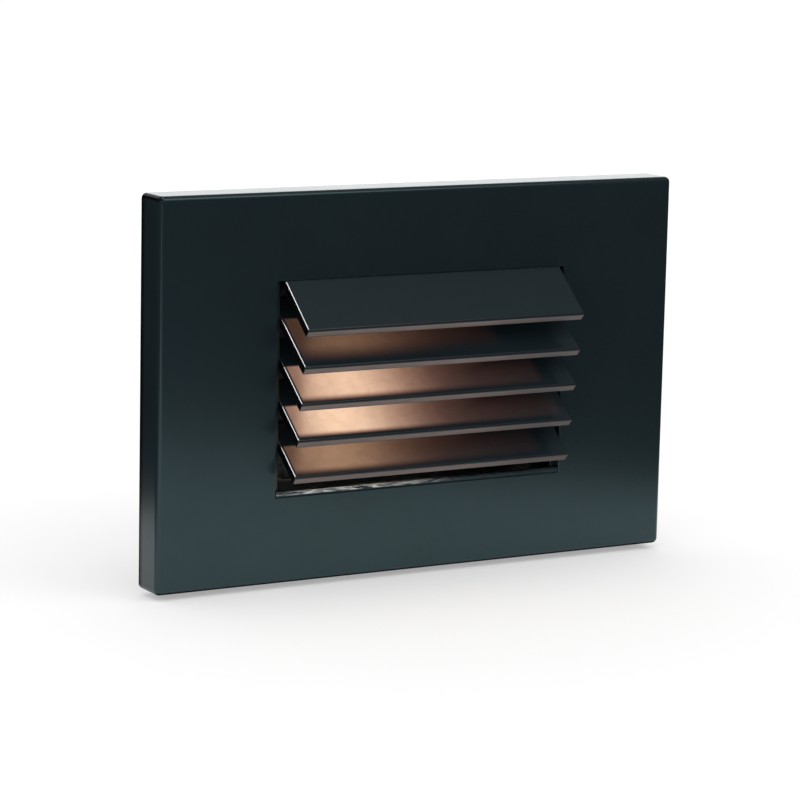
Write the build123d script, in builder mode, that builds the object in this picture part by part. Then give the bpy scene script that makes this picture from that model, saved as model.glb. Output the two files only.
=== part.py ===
"""Step light with louvers, for a single-gang box in a wall.

Millimetres. X runs to the right of someone who faces the light, Y into the wall and Z up. The origin
is on the wall's face, midway between the two box screws, so what has a positive Y is inside the wall.
"""
import os
from math import cos, radians, sin, tan

from build123d import *

# ----------------------------------------------------------------------------------------
# Face cover
# ----------------------------------------------------------------------------------------
plate_width = 127.0
plate_height = 84.0
plate_corner_radius = 1.2
cover_depth = 8.6
cover_skin = 1.8
cover_side_wall = 1.8
cover_edge_radius = 1.15
window_screw_gap = 6.05
window_height = 46.2
window_edge_radius = 0.3

# ----------------------------------------------------------------------------------------
# Louver: a hood and the blades below it, all on the same slope
# ----------------------------------------------------------------------------------------
blade_count = 5
blade_slope = 38.5
blade_thickness = 2.0
blade_pitch = 8.0
blade_end_gap = 1.4
hood_reach = 11.0
reach_step = 1.2
hood_top_gap = 0.3
hood_bend_radius = 1.2
blade_upper_radius = 0.6
blade_lower_radius = 0.25
cheek_thickness = 1.0
cheek_housing_gap = 0.3
cheek_gap = 0.1
cheek_blade_inset = 0.3
tab_inset = 0.8
tab_slot_gap = 0.1
ear_thickness = 0.8
ear_width = 10.0
ear_height = 12.0
stud_height_z = 16.0
stud_radius = 1.0
stud_bracket_gap = 0.3
stud_hole_gap = 0.1
clip_radius = 3.0
clip_thickness = 0.4
clip_slit_width = 0.5
clip_slit_depth = 1.2
clip_slit_count = 3

# ----------------------------------------------------------------------------------------
# Wall bracket, gasket and the screws into the box
# ----------------------------------------------------------------------------------------
box_screw_spacing = 83.3
box_screw_radius = 1.75
box_screw_length = 19.0
box_screw_neck_radius = 1.4
box_screw_head_radius = 3.3
box_screw_head_height = 1.7
box_slot_radius = 2.1
box_slot_length = 7.2
driver_slot_width = 0.8
driver_slot_depth = 0.7
bracket_thickness = 1.2
bracket_side_gap = 7.7
bracket_top_gap = 0.25
bracket_front_gap = 0.4
bracket_corner_radius = 3.0
bracket_window_gap = 0.6
gasket_thickness = 2.0
gasket_inset = 1.5
gasket_hole_gap = 0.6
ground_screw_radius = 1.75
ground_screw_side_inset = 7.0
ground_screw_top_inset = 13.7
ground_screw_length = 2.7
ground_head_radius = 3.2
ground_head_height = 1.6

# ----------------------------------------------------------------------------------------
# Set screws in the cover's lower edge
# ----------------------------------------------------------------------------------------
set_screw_x = 30.0
set_screw_radius = 1.45
set_screw_length = 4.6
set_screw_recess = 0.3
set_screw_point = 0.5
set_screw_setback = 0.4
set_screw_tip_gap = 0.1
thread_gap = 0.05
hex_socket_width = 1.5
hex_socket_depth = 2.0
boss_width = 7.0
boss_rear_wall = 1.2
boss_top_gap = 0.4

# ----------------------------------------------------------------------------------------
# Housing: a can in the wall box, with a flange behind the bracket and a deck across it
# ----------------------------------------------------------------------------------------
can_screw_gap = 7.25
can_window_rim = 0.3
can_wall = 2.2
can_corner_radius = 4.0
component_gap = 2.0
flange_side_reach = 2.4
flange_top_reach = 7.6
flange_thickness = 1.8
flange_corner_radius = 3.0
ledge_width = 3.2
chamber_corner_radius = 2.0
deck_front_y = 13.0
deck_thickness = 3.0
housing_screw_x = 24.0
housing_screw_radius = 1.5
housing_screw_head_radius = 2.65
housing_screw_length = 2.9

# ----------------------------------------------------------------------------------------
# Pane, its seal and the spring frame in front of it
# ----------------------------------------------------------------------------------------
pane_gap = 0.4
pane_thickness = 2.5
pane_corner_radius = 1.8
pane_seal_thickness = 1.0
pane_seal_rim = 3.8
retainer_thickness = 1.0
retainer_rim = 3.5
retainer_tab_width = 8.0
retainer_tab_x = 18.0
retainer_tab_length = 1.0
retainer_tab_gap = 0.15
retainer_inset = 0.2

# ----------------------------------------------------------------------------------------
# Lamp board and reflector
# ----------------------------------------------------------------------------------------
lamp_board_bush_gap = 0.3
lamp_board_thickness = 1.6
thermal_pad_thickness = 0.5
chip_columns = 4
chip_rows = 2
chip_spacing_x = 6.4
chip_spacing_z = 5.4
chip_size = 3.0
chip_thickness = 0.7
lamp_screw_end_inset = 3.2
lamp_screw_edge_inset = 2.6
lamp_screw_reflector_gap = 0.3
lamp_screw_radius = 1.0
lamp_screw_head_radius = 1.9
lamp_screw_head_height = 1.1
lamp_screw_floor = 0.5
reflector_gap = 0.3
reflector_wall = 1.2
reflector_chip_gap_x = 3.2
reflector_chip_gap_z = 2.1
reflector_corner_radius = 2.0
lead_radius = 0.5
lead_spacing = 1.5
lead_hole_radius = 2.1
lead_pad_inset = 1.6
lead_return = 3.5
lead_bend_radii = [2.0, 1.3, 0.8]
lead_board_gap = 0.1
bush_bore_radius = 1.45
bush_flange_radius = 2.9
bush_flange_thickness = 0.8
bush_wall_gap = 0.1

# ----------------------------------------------------------------------------------------
# Driver board and what stands on it
# ----------------------------------------------------------------------------------------
driver_boss_gap = 1.2
driver_wall_gap = 2.2
driver_thickness = 1.6
standoff_length = 4.0
standoff_radius = 2.5
standoff_inset = 4.0
driver_screw_radius = 1.25
driver_screw_head_radius = 2.2
driver_screw_head_height = 1.5
driver_screw_length = 6.0
insulator_thickness = 0.4
insulator_overhang = 1.0
electrolytic_radius = 4.0
electrolytic_length = 12.0
electrolytic_inset = 10.0
electrolytic_z = -6.0
film_width = 13.0
film_height = 6.0
film_length = 11.5
film_side_inset = 14.0
film_top_inset = 8.0
core_width = 16.0
core_height = 5.0
core_length = 12.4
core_leg_width = 4.0
core_yoke = 3.0
core_x = 6.0
core_z = 0.0
winding_gap = 0.2
winding_height = 13.0
bridge_width = 6.5
bridge_height = 4.7
bridge_thickness = 2.5
bridge_inset = 12.0
bridge_z = 3.2
control_width = 5.0
control_height = 4.0
control_thickness = 1.5
control_x = 8.0
control_z = -13.0
fuse_radius = 1.8
fuse_length = 8.0
fuse_x = -4.0
fuse_z = -14.5

# ----------------------------------------------------------------------------------------
# Back of the can
# ----------------------------------------------------------------------------------------
corner_boss_radius = 3.2
corner_boss_inset = 5.0
back_screw_radius = 1.45
back_screw_hole_gap = 0.15
back_screw_length = 8.0
back_screw_head_radius = 2.6
back_screw_head_height = 1.6
back_seal_thickness = 0.8
back_cover_thickness = 1.6
inlet_x = -18.0
inlet_bore_radius = 3.0
inlet_hole_radius = 4.5
inlet_flange_radius = 6.2
inlet_flange_thickness = 1.5
screw_hole_gap = 0.05

# ----------------------------------------------------------------------------------------
# Places worked out from the sizes above
# ----------------------------------------------------------------------------------------
wall_y = 0.0
cover_front_y = wall_y - cover_depth
skin_back_y = cover_front_y + cover_skin
cover_inner_width = plate_width - 2 * cover_side_wall
cover_inner_height = plate_height - 2 * cover_side_wall

window_width = box_screw_spacing - 2 * window_screw_gap
blade_length = window_width - 2 * blade_end_gap
blade_rise = tan(radians(blade_slope))
blade_upright = blade_thickness / cos(radians(blade_slope))
blade_cut_depth = blade_thickness * sin(radians(blade_slope))
blade_cut_drop = blade_thickness * cos(radians(blade_slope))
hood_top_z = window_height / 2 - hood_top_gap
hood_front_z = hood_top_z - blade_rise * hood_reach
bracket_rear_y = wall_y - gasket_thickness
cheek_rear_y = bracket_rear_y - cheek_housing_gap
cheek_depth = cheek_rear_y - skin_back_y
blade_rear_y = cheek_rear_y - cheek_blade_inset
tab_front_y = skin_back_y + tab_inset
tab_rear_y = blade_rear_y
cheek_inner_x = blade_length / 2 + cheek_gap
cheek_outer_x = cheek_inner_x + cheek_thickness
stud_x = cheek_outer_x + ear_width / 2

bracket_front_y = bracket_rear_y - bracket_thickness
stud_rear_y = bracket_front_y - stud_bracket_gap
bracket_flange_front_y = skin_back_y + bracket_front_gap
bracket_width = cover_inner_width - 2 * bracket_side_gap
bracket_top_z = cover_inner_height / 2 - bracket_top_gap
set_screw_base_z = -plate_height / 2 + set_screw_recess
set_screw_tip_z = set_screw_base_z + set_screw_length
bracket_bottom_z = set_screw_tip_z + set_screw_tip_gap
set_screw_y = bracket_flange_front_y + set_screw_setback / 2 + set_screw_radius - screw_hole_gap
boss_top_z = set_screw_tip_z - boss_top_gap
bracket_window_width = 2 * (cheek_outer_x + bracket_window_gap)
bracket_window_height = window_height + 2 * bracket_window_gap
ground_screw_x = -bracket_width / 2 + ground_screw_side_inset
ground_screw_z = bracket_top_z - ground_screw_top_inset

can_width = box_screw_spacing - 2 * can_screw_gap
can_height = window_height + 2 * can_window_rim
flange_width = can_width + 2 * flange_side_reach
flange_height = can_height + 2 * flange_top_reach
housing_screw_z = (can_height + flange_height) / 4
flange_front_y = bracket_rear_y
flange_rear_y = flange_front_y + flange_thickness
can_inner_width = can_width - 2 * can_wall
can_inner_height = can_height - 2 * can_wall
can_inner_radius = can_corner_radius - can_wall
chamber_width = can_inner_width - 2 * ledge_width
chamber_height = can_inner_height - 2 * ledge_width
retainer_front_y = flange_front_y + retainer_inset
pane_front_y = retainer_front_y + retainer_thickness
pane_rear_y = pane_front_y + pane_thickness
ledge_y = pane_rear_y + pane_seal_thickness
pane_width = can_inner_width - 2 * pane_gap
pane_height = can_inner_height - 2 * pane_gap
deck_rear_y = deck_front_y + deck_thickness
lamp_board_rear_y = deck_front_y - thermal_pad_thickness
lamp_board_front_y = lamp_board_rear_y - lamp_board_thickness
lamp_screw_depth = deck_rear_y - lamp_screw_floor
lead_hole_x = chamber_width / 2 - bush_flange_radius - bush_wall_gap
lamp_board_width = 2 * (lead_hole_x - bush_flange_radius - lamp_board_bush_gap)
lamp_screw_x = lamp_board_width / 2 - lamp_screw_end_inset
lead_front_y = lamp_board_front_y - lead_board_gap - lead_radius
lead_start_x = lamp_board_width / 2 - lead_pad_inset
lead_end_x = lead_hole_x - lead_return

chips_width = (chip_columns - 1) * chip_spacing_x + chip_size
chips_height = (chip_rows - 1) * chip_spacing_z + chip_size
reflector_base_width = chips_width + 2 * reflector_chip_gap_x
reflector_base_height = chips_height + 2 * reflector_chip_gap_z
reflector_rim_width = chamber_width - 2 * reflector_gap
reflector_rim_height = chamber_height - 2 * reflector_gap
reflector_foot_z = reflector_base_height / 2 + reflector_wall
reflector_flare = (reflector_rim_height / 2 - reflector_foot_z) / (lamp_board_front_y - ledge_y)
reflector_at_head_z = reflector_foot_z + reflector_flare * lamp_screw_head_height
lamp_screw_z = reflector_at_head_z + lamp_screw_reflector_gap + lamp_screw_head_radius
lamp_board_height = 2 * (lamp_screw_z + lamp_screw_edge_inset)

driver_front_y = deck_rear_y + standoff_length
driver_rear_y = driver_front_y + driver_thickness
driver_screw_depth = driver_rear_y - driver_screw_length
can_rear_y = driver_rear_y + max(electrolytic_length, film_length, core_length) + component_gap
back_seal_rear_y = can_rear_y + back_seal_thickness
back_cover_rear_y = back_seal_rear_y + back_cover_thickness
corner_boss_x = can_width / 2 - corner_boss_inset
corner_boss_z = can_height / 2 - corner_boss_inset
driver_width = 2 * (corner_boss_x - corner_boss_radius - driver_boss_gap)
driver_height = can_inner_height - 2 * driver_wall_gap
standoff_x = driver_width / 2 - standoff_inset
standoff_z = driver_height / 2 - standoff_inset
insulator_width = driver_width + 2 * insulator_overhang
insulator_height = driver_height + 2 * insulator_overhang
electrolytic_x = -driver_width / 2 + electrolytic_inset
film_x = -driver_width / 2 + film_side_inset
film_z = driver_height / 2 - film_top_inset
bridge_x = -driver_width / 2 + bridge_inset

os.makedirs("parts", exist_ok=True)


def seen_from_front(y):
    """Plane at depth y, with X to the right and Z up, that extrudes out of the wall."""
    return Plane.XZ.offset(-y)


def seen_from_left_end(x):
    """Plane at x for side profiles: its own x is Y, its own y is Z, and it extrudes to the right."""
    return Plane.YZ.offset(x)


def corners(half_x, half_z):
    """Four places at the corners of a rectangle round the middle."""
    return [(sx * half_x, sz * half_z) for sx in (-1, 1) for sz in (-1, 1)]


def finish(piece, name):
    """Name a finished piece and write it to its own file."""
    piece.part.label = name
    export_step(piece.part, f"parts/{name}.step")


# ----------------------------------------------------------------------------------------
# cover: one shallow tray with a window, four studs for the louver and two threaded bosses in its lower wall
# ----------------------------------------------------------------------------------------
with BuildPart() as cover:
    with BuildSketch(seen_from_front(wall_y)):
        RectangleRounded(plate_width, plate_height, plate_corner_radius)
    extrude(amount=cover_depth)
    fillet(cover.faces().sort_by(Axis.Y)[0].edges(), radius=cover_edge_radius)
    with BuildSketch(seen_from_front(wall_y)):
        Rectangle(cover_inner_width, cover_inner_height)
    extrude(amount=cover_depth - cover_skin, mode=Mode.SUBTRACT)
    with BuildSketch(seen_from_front(skin_back_y)):
        Rectangle(window_width, window_height)
    extrude(amount=cover_skin, mode=Mode.SUBTRACT)
    window_rim = cover.faces().sort_by(Axis.Y)[0].inner_wires()[0]
    fillet(window_rim.edges(), radius=window_edge_radius)
    with BuildSketch(seen_from_front(skin_back_y)):
        with Locations(*corners(stud_x, stud_height_z)):
            Circle(stud_radius)
    extrude(amount=skin_back_y - stud_rear_y)
    with BuildSketch(Plane.XY.offset(-cover_inner_height / 2)):
        boss_rear_y = set_screw_y + set_screw_radius + boss_rear_wall
        boss_depth = boss_rear_y - skin_back_y
        boss_y = skin_back_y + boss_depth / 2
        with Locations((-set_screw_x, boss_y), (set_screw_x, boss_y)):
            Rectangle(boss_width, boss_depth)
    extrude(amount=boss_top_z + cover_inner_height / 2)
    with BuildSketch(Plane.XY.offset(-plate_height / 2)):
        with Locations((-set_screw_x, set_screw_y), (set_screw_x, set_screw_y)):
            Circle(set_screw_radius + thread_gap)
    extrude(amount=boss_top_z + plate_height / 2, mode=Mode.SUBTRACT)
finish(cover, "cover")


# ----------------------------------------------------------------------------------------
# hood and blades: each has a tab at either end, which stands in a slot of the cheek beside it
# ----------------------------------------------------------------------------------------
def blade_front(number):
    """Depth and height of the upper front corner of a blade; the hood is number 1."""
    front_y = cover_front_y - hood_reach + reach_step * (number - 1)
    front_z = hood_front_z - blade_pitch * (number - 1)
    return front_y, front_z


def slope_z(number, y):
    """Height of a blade's upper surface at depth y, along its slope."""
    front_y, front_z = blade_front(number)
    return front_z + blade_rise * (y - front_y)


def sloped_outline(number, start_y, end_y, grow=0.0):
    """Closed outline of a blade's tab between two depths, made larger all round by a clearance."""
    low = blade_upright + grow
    return Polyline(
        (start_y - grow, slope_z(number, start_y - grow) + grow),
        (start_y - grow, slope_z(number, start_y - grow) - low),
        (end_y + grow, slope_z(number, end_y + grow) - low),
        (end_y + grow, slope_z(number, end_y + grow) + grow),
        close=True,
    )


def blade_outline(number):
    """Closed outline of a blade, with its front edge cut square to the slope."""
    front_y, front_z = blade_front(number)
    return Polyline(
        (front_y, front_z),
        (front_y + blade_cut_depth, front_z - blade_cut_drop),
        (blade_rear_y, slope_z(number, blade_rear_y) - blade_upright),
        (blade_rear_y, slope_z(number, blade_rear_y)),
        close=True,
    )


def hood_outline():
    """Closed outline of the hood: level through the window, then bent down at the cover's face."""
    front_y, front_z = blade_front(1)
    under_z = hood_top_z - blade_thickness
    under_bend_y = cover_front_y + (blade_upright - blade_thickness) / blade_rise
    return Polyline(
        (front_y, front_z),
        (front_y + blade_cut_depth, front_z - blade_cut_drop),
        (under_bend_y, under_z),
        (blade_rear_y, under_z),
        (blade_rear_y, hood_top_z),
        (cover_front_y, hood_top_z),
        close=True,
    )


def round_front(profile):
    """Round the two front corners of a blade's outline, the upper one more."""
    lower_corner = profile.vertices().sort_by(Axis.X)[1]
    fillet(lower_corner, radius=blade_lower_radius)
    upper_corner = profile.vertices().sort_by(Axis.X)[0]
    fillet(upper_corner, radius=blade_upper_radius)


def level_tab(grow=0.0):
    """Rectangle of the hood's tab, made larger all round by a clearance."""
    middle_y = (tab_front_y + tab_rear_y) / 2
    with Locations((middle_y, hood_top_z - blade_thickness / 2)):
        Rectangle(tab_rear_y - tab_front_y + 2 * grow, blade_thickness + 2 * grow)


with BuildPart() as hood_blade:
    with BuildSketch(seen_from_left_end(-blade_length / 2)) as hood_profile:
        with BuildLine():
            hood_outline()
        make_face()
        round_front(hood_profile)
        bend_corner = hood_profile.vertices().group_by(Axis.Y)[-1].sort_by(Axis.X)[0]
        fillet(bend_corner, radius=hood_bend_radius)
    extrude(amount=blade_length)
    with BuildSketch(seen_from_left_end(-cheek_outer_x)):
        level_tab()
    extrude(amount=2 * cheek_outer_x)
finish(hood_blade, "hood_blade")

for blade_number in range(2, blade_count + 1):
    with BuildPart() as louver_blade:
        with BuildSketch(seen_from_left_end(-blade_length / 2)) as blade_profile:
            with BuildLine():
                blade_outline(blade_number)
            make_face()
            round_front(blade_profile)
        extrude(amount=blade_length)
        with BuildSketch(seen_from_left_end(-cheek_outer_x)):
            with BuildLine():
                sloped_outline(blade_number, tab_front_y, tab_rear_y)
            make_face()
        extrude(amount=2 * cheek_outer_x)
    finish(louver_blade, f"louver_blade_{blade_number}")

# ----------------------------------------------------------------------------------------
# cheeks: an upright web at each end of the blades, with two ears that lie on the back of the cover
# ----------------------------------------------------------------------------------------
for side, side_name in ((-1, "left"), (1, "right")):
    with BuildPart() as cheek:
        web_x = side * (cheek_inner_x + cheek_thickness / 2)
        with BuildSketch(seen_from_front(cheek_rear_y)):
            with Locations((web_x, 0)):
                Rectangle(cheek_thickness, window_height)
        extrude(amount=cheek_depth)
        with BuildSketch(seen_from_front(skin_back_y + ear_thickness)):
            with Locations((side * stud_x, stud_height_z), (side * stud_x, -stud_height_z)):
                Rectangle(ear_width, ear_height)
                Circle(stud_radius + stud_hole_gap, mode=Mode.SUBTRACT)
        extrude(amount=ear_thickness)
        slot_start_x = cheek_inner_x if side > 0 else -cheek_outer_x
        with BuildSketch(seen_from_left_end(slot_start_x)):
            level_tab(tab_slot_gap)
            for blade_number in range(2, blade_count + 1):
                with BuildLine():
                    sloped_outline(blade_number, tab_front_y, tab_rear_y, tab_slot_gap)
                make_face()
        extrude(amount=cheek_thickness, mode=Mode.SUBTRACT)
    finish(cheek, f"louver_cheek_{side_name}")

# ----------------------------------------------------------------------------------------
# clips: slit washers pushed onto the cover's studs, over the cheeks' ears
# ----------------------------------------------------------------------------------------
with BuildPart() as louver_clips:
    clip_rear_y = skin_back_y + ear_thickness + clip_thickness
    with BuildSketch(seen_from_front(clip_rear_y)):
        with Locations(*corners(stud_x, stud_height_z)):
            Circle(clip_radius)
            Circle(stud_radius + screw_hole_gap, mode=Mode.SUBTRACT)
            with PolarLocations(stud_radius + clip_slit_depth / 2, clip_slit_count):
                Rectangle(clip_slit_depth, clip_slit_width, mode=Mode.SUBTRACT)
    extrude(amount=clip_thickness)
finish(louver_clips, "louver_clips")

# ----------------------------------------------------------------------------------------
# bracket: a plate with a window round the louver and a forward flange along its top and its bottom
# ----------------------------------------------------------------------------------------
bracket_height = bracket_top_z - bracket_bottom_z
bracket_middle_z = (bracket_top_z + bracket_bottom_z) / 2
with BuildPart() as mounting_bracket:
    with BuildSketch(seen_from_front(bracket_rear_y)):
        with Locations((0, bracket_middle_z)):
            RectangleRounded(bracket_width, bracket_height, bracket_corner_radius)
        Rectangle(bracket_window_width, bracket_window_height, mode=Mode.SUBTRACT)
        with Locations((-box_screw_spacing / 2, 0), (box_screw_spacing / 2, 0)):
            SlotOverall(box_slot_length, 2 * box_slot_radius, mode=Mode.SUBTRACT)
        with Locations((ground_screw_x, ground_screw_z)):
            Circle(ground_screw_radius + screw_hole_gap, mode=Mode.SUBTRACT)
    extrude(amount=bracket_thickness)
    with BuildSketch(seen_from_front(bracket_front_y)):
        top_flange_z = bracket_top_z - bracket_thickness / 2
        bottom_flange_z = bracket_bottom_z + bracket_thickness / 2
        with Locations((0, top_flange_z), (0, bottom_flange_z)):
            Rectangle(bracket_width - 2 * bracket_corner_radius, bracket_thickness)
    extrude(amount=bracket_front_y - bracket_flange_front_y)
    front_face = seen_from_front(bracket_front_y)
    with Locations(*[front_face * Pos(x, z, 0) for x, z in corners(housing_screw_x, housing_screw_z)]):
        CounterSinkHole(
            radius=housing_screw_radius + screw_hole_gap,
            counter_sink_radius=housing_screw_head_radius + screw_hole_gap,
            depth=bracket_thickness,
        )
finish(mounting_bracket, "mounting_bracket")

# ----------------------------------------------------------------------------------------
# wall gasket: a foam frame behind the bracket, round the housing's flange
# ----------------------------------------------------------------------------------------
gasket_window_width = flange_width + 2 * screw_hole_gap
gasket_window_height = flange_height + 2 * screw_hole_gap
with BuildPart() as wall_gasket:
    with BuildSketch(seen_from_front(wall_y)):
        with Locations((0, bracket_middle_z)):
            Rectangle(bracket_width - 2 * gasket_inset, bracket_height - 2 * gasket_inset)
        Rectangle(gasket_window_width, gasket_window_height, mode=Mode.SUBTRACT)
        with Locations((-box_screw_spacing / 2, 0), (box_screw_spacing / 2, 0)):
            Circle(box_screw_radius + gasket_hole_gap, mode=Mode.SUBTRACT)
        with Locations((ground_screw_x, ground_screw_z)):
            Circle(ground_screw_radius + gasket_hole_gap, mode=Mode.SUBTRACT)
    extrude(amount=gasket_thickness)
finish(wall_gasket, "wall_gasket")

# ----------------------------------------------------------------------------------------
# box screws and ground screw
# ----------------------------------------------------------------------------------------
with BuildPart() as box_screws:
    with BuildSketch(seen_from_front(bracket_front_y + box_screw_length)):
        with Locations((-box_screw_spacing / 2, 0), (box_screw_spacing / 2, 0)):
            Circle(box_screw_radius)
    extrude(amount=bracket_front_y + box_screw_length - wall_y)
    with BuildSketch(seen_from_front(wall_y)):
        with Locations((-box_screw_spacing / 2, 0), (box_screw_spacing / 2, 0)):
            Circle(box_screw_neck_radius)
    extrude(amount=wall_y - bracket_front_y)
    with BuildSketch(seen_from_front(bracket_front_y)):
        with Locations((-box_screw_spacing / 2, 0), (box_screw_spacing / 2, 0)):
            Circle(box_screw_head_radius)
    extrude(amount=box_screw_head_height)
    head_rims = box_screws.edges().group_by(Axis.Y)[0]
    fillet(head_rims, radius=box_screw_head_height / 2)
    with BuildSketch(seen_from_front(bracket_front_y - box_screw_head_height)):
        with Locations((-box_screw_spacing / 2, 0), (box_screw_spacing / 2, 0)):
            Rectangle(2 * box_screw_head_radius, driver_slot_width)
    extrude(amount=-driver_slot_depth, mode=Mode.SUBTRACT)
finish(box_screws, "box_screws")

with BuildPart() as ground_screw:
    with BuildSketch(seen_from_front(bracket_front_y + ground_screw_length)):
        with Locations((ground_screw_x, ground_screw_z)):
            Circle(ground_screw_radius)
    extrude(amount=ground_screw_length)
    with BuildSketch(seen_from_front(bracket_front_y)):
        with Locations((ground_screw_x, ground_screw_z)):
            RegularPolygon(radius=ground_head_radius, side_count=6)
    extrude(amount=ground_head_height)
    with BuildSketch(seen_from_front(bracket_front_y - ground_head_height)):
        with Locations((ground_screw_x, ground_screw_z)):
            Rectangle(2 * ground_head_radius, driver_slot_width)
    extrude(amount=-driver_slot_depth, mode=Mode.SUBTRACT)
finish(ground_screw, "ground_screw")

# ----------------------------------------------------------------------------------------
# set screws: threaded up through the cover's lower wall, with their points under the bracket's lower flange
# ----------------------------------------------------------------------------------------
for side, side_name in ((-1, "left"), (1, "right")):
    with BuildPart() as set_screw:
        with BuildSketch(Plane.XY.offset(set_screw_base_z)):
            with Locations((side * set_screw_x, set_screw_y)):
                Circle(set_screw_radius)
        extrude(amount=set_screw_length)
        chamfer(set_screw.faces().sort_by(Axis.Z)[-1].edges(), length=set_screw_point)
        with BuildSketch(Plane.XY.offset(set_screw_base_z)):
            with Locations((side * set_screw_x, set_screw_y)):
                RegularPolygon(radius=hex_socket_width / 2, side_count=6, major_radius=False)
        extrude(amount=hex_socket_depth, mode=Mode.SUBTRACT)
    finish(set_screw, f"set_screw_{side_name}")

# ----------------------------------------------------------------------------------------
# housing: flange, can, lamp chamber, deck and driver compartment in one casting
# ----------------------------------------------------------------------------------------
with BuildPart() as housing:
    with BuildSketch(seen_from_front(flange_rear_y)):
        RectangleRounded(flange_width, flange_height, flange_corner_radius)
    extrude(amount=flange_thickness)
    with BuildSketch(seen_from_front(can_rear_y)):
        RectangleRounded(can_width, can_height, can_corner_radius)
    extrude(amount=can_rear_y - flange_front_y)
    with BuildSketch(seen_from_front(ledge_y)):
        RectangleRounded(can_inner_width, can_inner_height, can_inner_radius)
    extrude(amount=ledge_y - flange_front_y, mode=Mode.SUBTRACT)
    with BuildSketch(seen_from_front(deck_front_y)):
        RectangleRounded(chamber_width, chamber_height, chamber_corner_radius)
    extrude(amount=deck_front_y - ledge_y, mode=Mode.SUBTRACT)
    with BuildSketch(seen_from_front(can_rear_y)):
        RectangleRounded(can_inner_width, can_inner_height, can_inner_radius)
        with Locations(*corners(corner_boss_x, corner_boss_z)):
            Circle(corner_boss_radius, mode=Mode.SUBTRACT)
        boss_root = corner_boss_inset / 2
        with Locations(*corners(corner_boss_x + boss_root, corner_boss_z + boss_root)):
            Rectangle(corner_boss_inset, corner_boss_inset, mode=Mode.SUBTRACT)
    extrude(amount=can_rear_y - deck_rear_y, mode=Mode.SUBTRACT)
    with BuildSketch(seen_from_front(driver_front_y)):
        with Locations(*corners(standoff_x, standoff_z)):
            Circle(standoff_radius)
    extrude(amount=standoff_length)
    with BuildSketch(seen_from_front(driver_front_y)):
        with Locations(*corners(standoff_x, standoff_z)):
            Circle(driver_screw_radius + screw_hole_gap)
    extrude(amount=driver_front_y - driver_screw_depth + screw_hole_gap, mode=Mode.SUBTRACT)
    with BuildSketch(seen_from_front(deck_rear_y)):
        with Locations((lead_hole_x, 0)):
            Circle(lead_hole_radius)
    extrude(amount=deck_thickness, mode=Mode.SUBTRACT)
    with BuildSketch(seen_from_front(lamp_screw_depth + screw_hole_gap)):
        with Locations(*corners(lamp_screw_x, lamp_screw_z)):
            Circle(lamp_screw_radius + screw_hole_gap)
    extrude(amount=lamp_screw_depth + screw_hole_gap - deck_front_y, mode=Mode.SUBTRACT)
    with BuildSketch(seen_from_front(can_rear_y)):
        with Locations(*corners(corner_boss_x, corner_boss_z)):
            Circle(back_screw_radius + screw_hole_gap)
    extrude(amount=back_screw_length, mode=Mode.SUBTRACT)
    with BuildSketch(seen_from_front(flange_rear_y)):
        with Locations(*corners(housing_screw_x, housing_screw_z)):
            Circle(housing_screw_radius + screw_hole_gap)
    extrude(amount=flange_thickness, mode=Mode.SUBTRACT)
    with BuildSketch(seen_from_front(pane_front_y + retainer_tab_gap)):
        slot_z = can_inner_height / 2 + retainer_tab_length / 2 + retainer_tab_gap / 2 - pane_gap / 2
        with Locations(*corners(retainer_tab_x, slot_z)):
            Rectangle(retainer_tab_width + 2 * retainer_tab_gap, retainer_tab_length + retainer_tab_gap)
    extrude(amount=pane_front_y + retainer_tab_gap - flange_front_y, mode=Mode.SUBTRACT)
finish(housing, "housing")

with BuildPart() as housing_screws:
    with BuildSketch(seen_from_front(bracket_front_y + housing_screw_length)):
        with Locations(*corners(housing_screw_x, housing_screw_z)):
            Circle(housing_screw_radius)
    extrude(amount=housing_screw_length)
    head_depth = housing_screw_head_radius - housing_screw_radius
    for screw_x, screw_z in corners(housing_screw_x, housing_screw_z):
        with BuildSketch(seen_from_front(bracket_front_y)):
            with Locations((screw_x, screw_z)):
                Circle(housing_screw_head_radius)
        extrude(amount=-head_depth, taper=45)
    with BuildSketch(seen_from_front(bracket_front_y)):
        with Locations(*corners(housing_screw_x, housing_screw_z)):
            Rectangle(housing_screw_radius * 2, driver_slot_width)
            Rectangle(driver_slot_width, housing_screw_radius * 2)
    extrude(amount=-driver_slot_depth, mode=Mode.SUBTRACT)
finish(housing_screws, "housing_screws")

# ----------------------------------------------------------------------------------------
# pane, seal and retainer, in the mouth of the can
# ----------------------------------------------------------------------------------------
with BuildPart() as lens:
    with BuildSketch(seen_from_front(pane_rear_y)):
        RectangleRounded(pane_width, pane_height, pane_corner_radius)
    extrude(amount=pane_thickness)
finish(lens, "lens")

with BuildPart() as lens_gasket:
    with BuildSketch(seen_from_front(ledge_y)):
        RectangleRounded(pane_width, pane_height, pane_corner_radius)
        Rectangle(pane_width - 2 * pane_seal_rim, pane_height - 2 * pane_seal_rim, mode=Mode.SUBTRACT)
    extrude(amount=pane_seal_thickness)
finish(lens_gasket, "lens_gasket")

with BuildPart() as lens_retainer:
    with BuildSketch(seen_from_front(pane_front_y)):
        RectangleRounded(pane_width, pane_height, pane_corner_radius)
        with Locations(*corners(retainer_tab_x, pane_height / 2)):
            Rectangle(retainer_tab_width, 2 * retainer_tab_length)
        Rectangle(pane_width - 2 * retainer_rim, pane_height - 2 * retainer_rim, mode=Mode.SUBTRACT)
    extrude(amount=retainer_thickness)
finish(lens_retainer, "lens_retainer")

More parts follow.
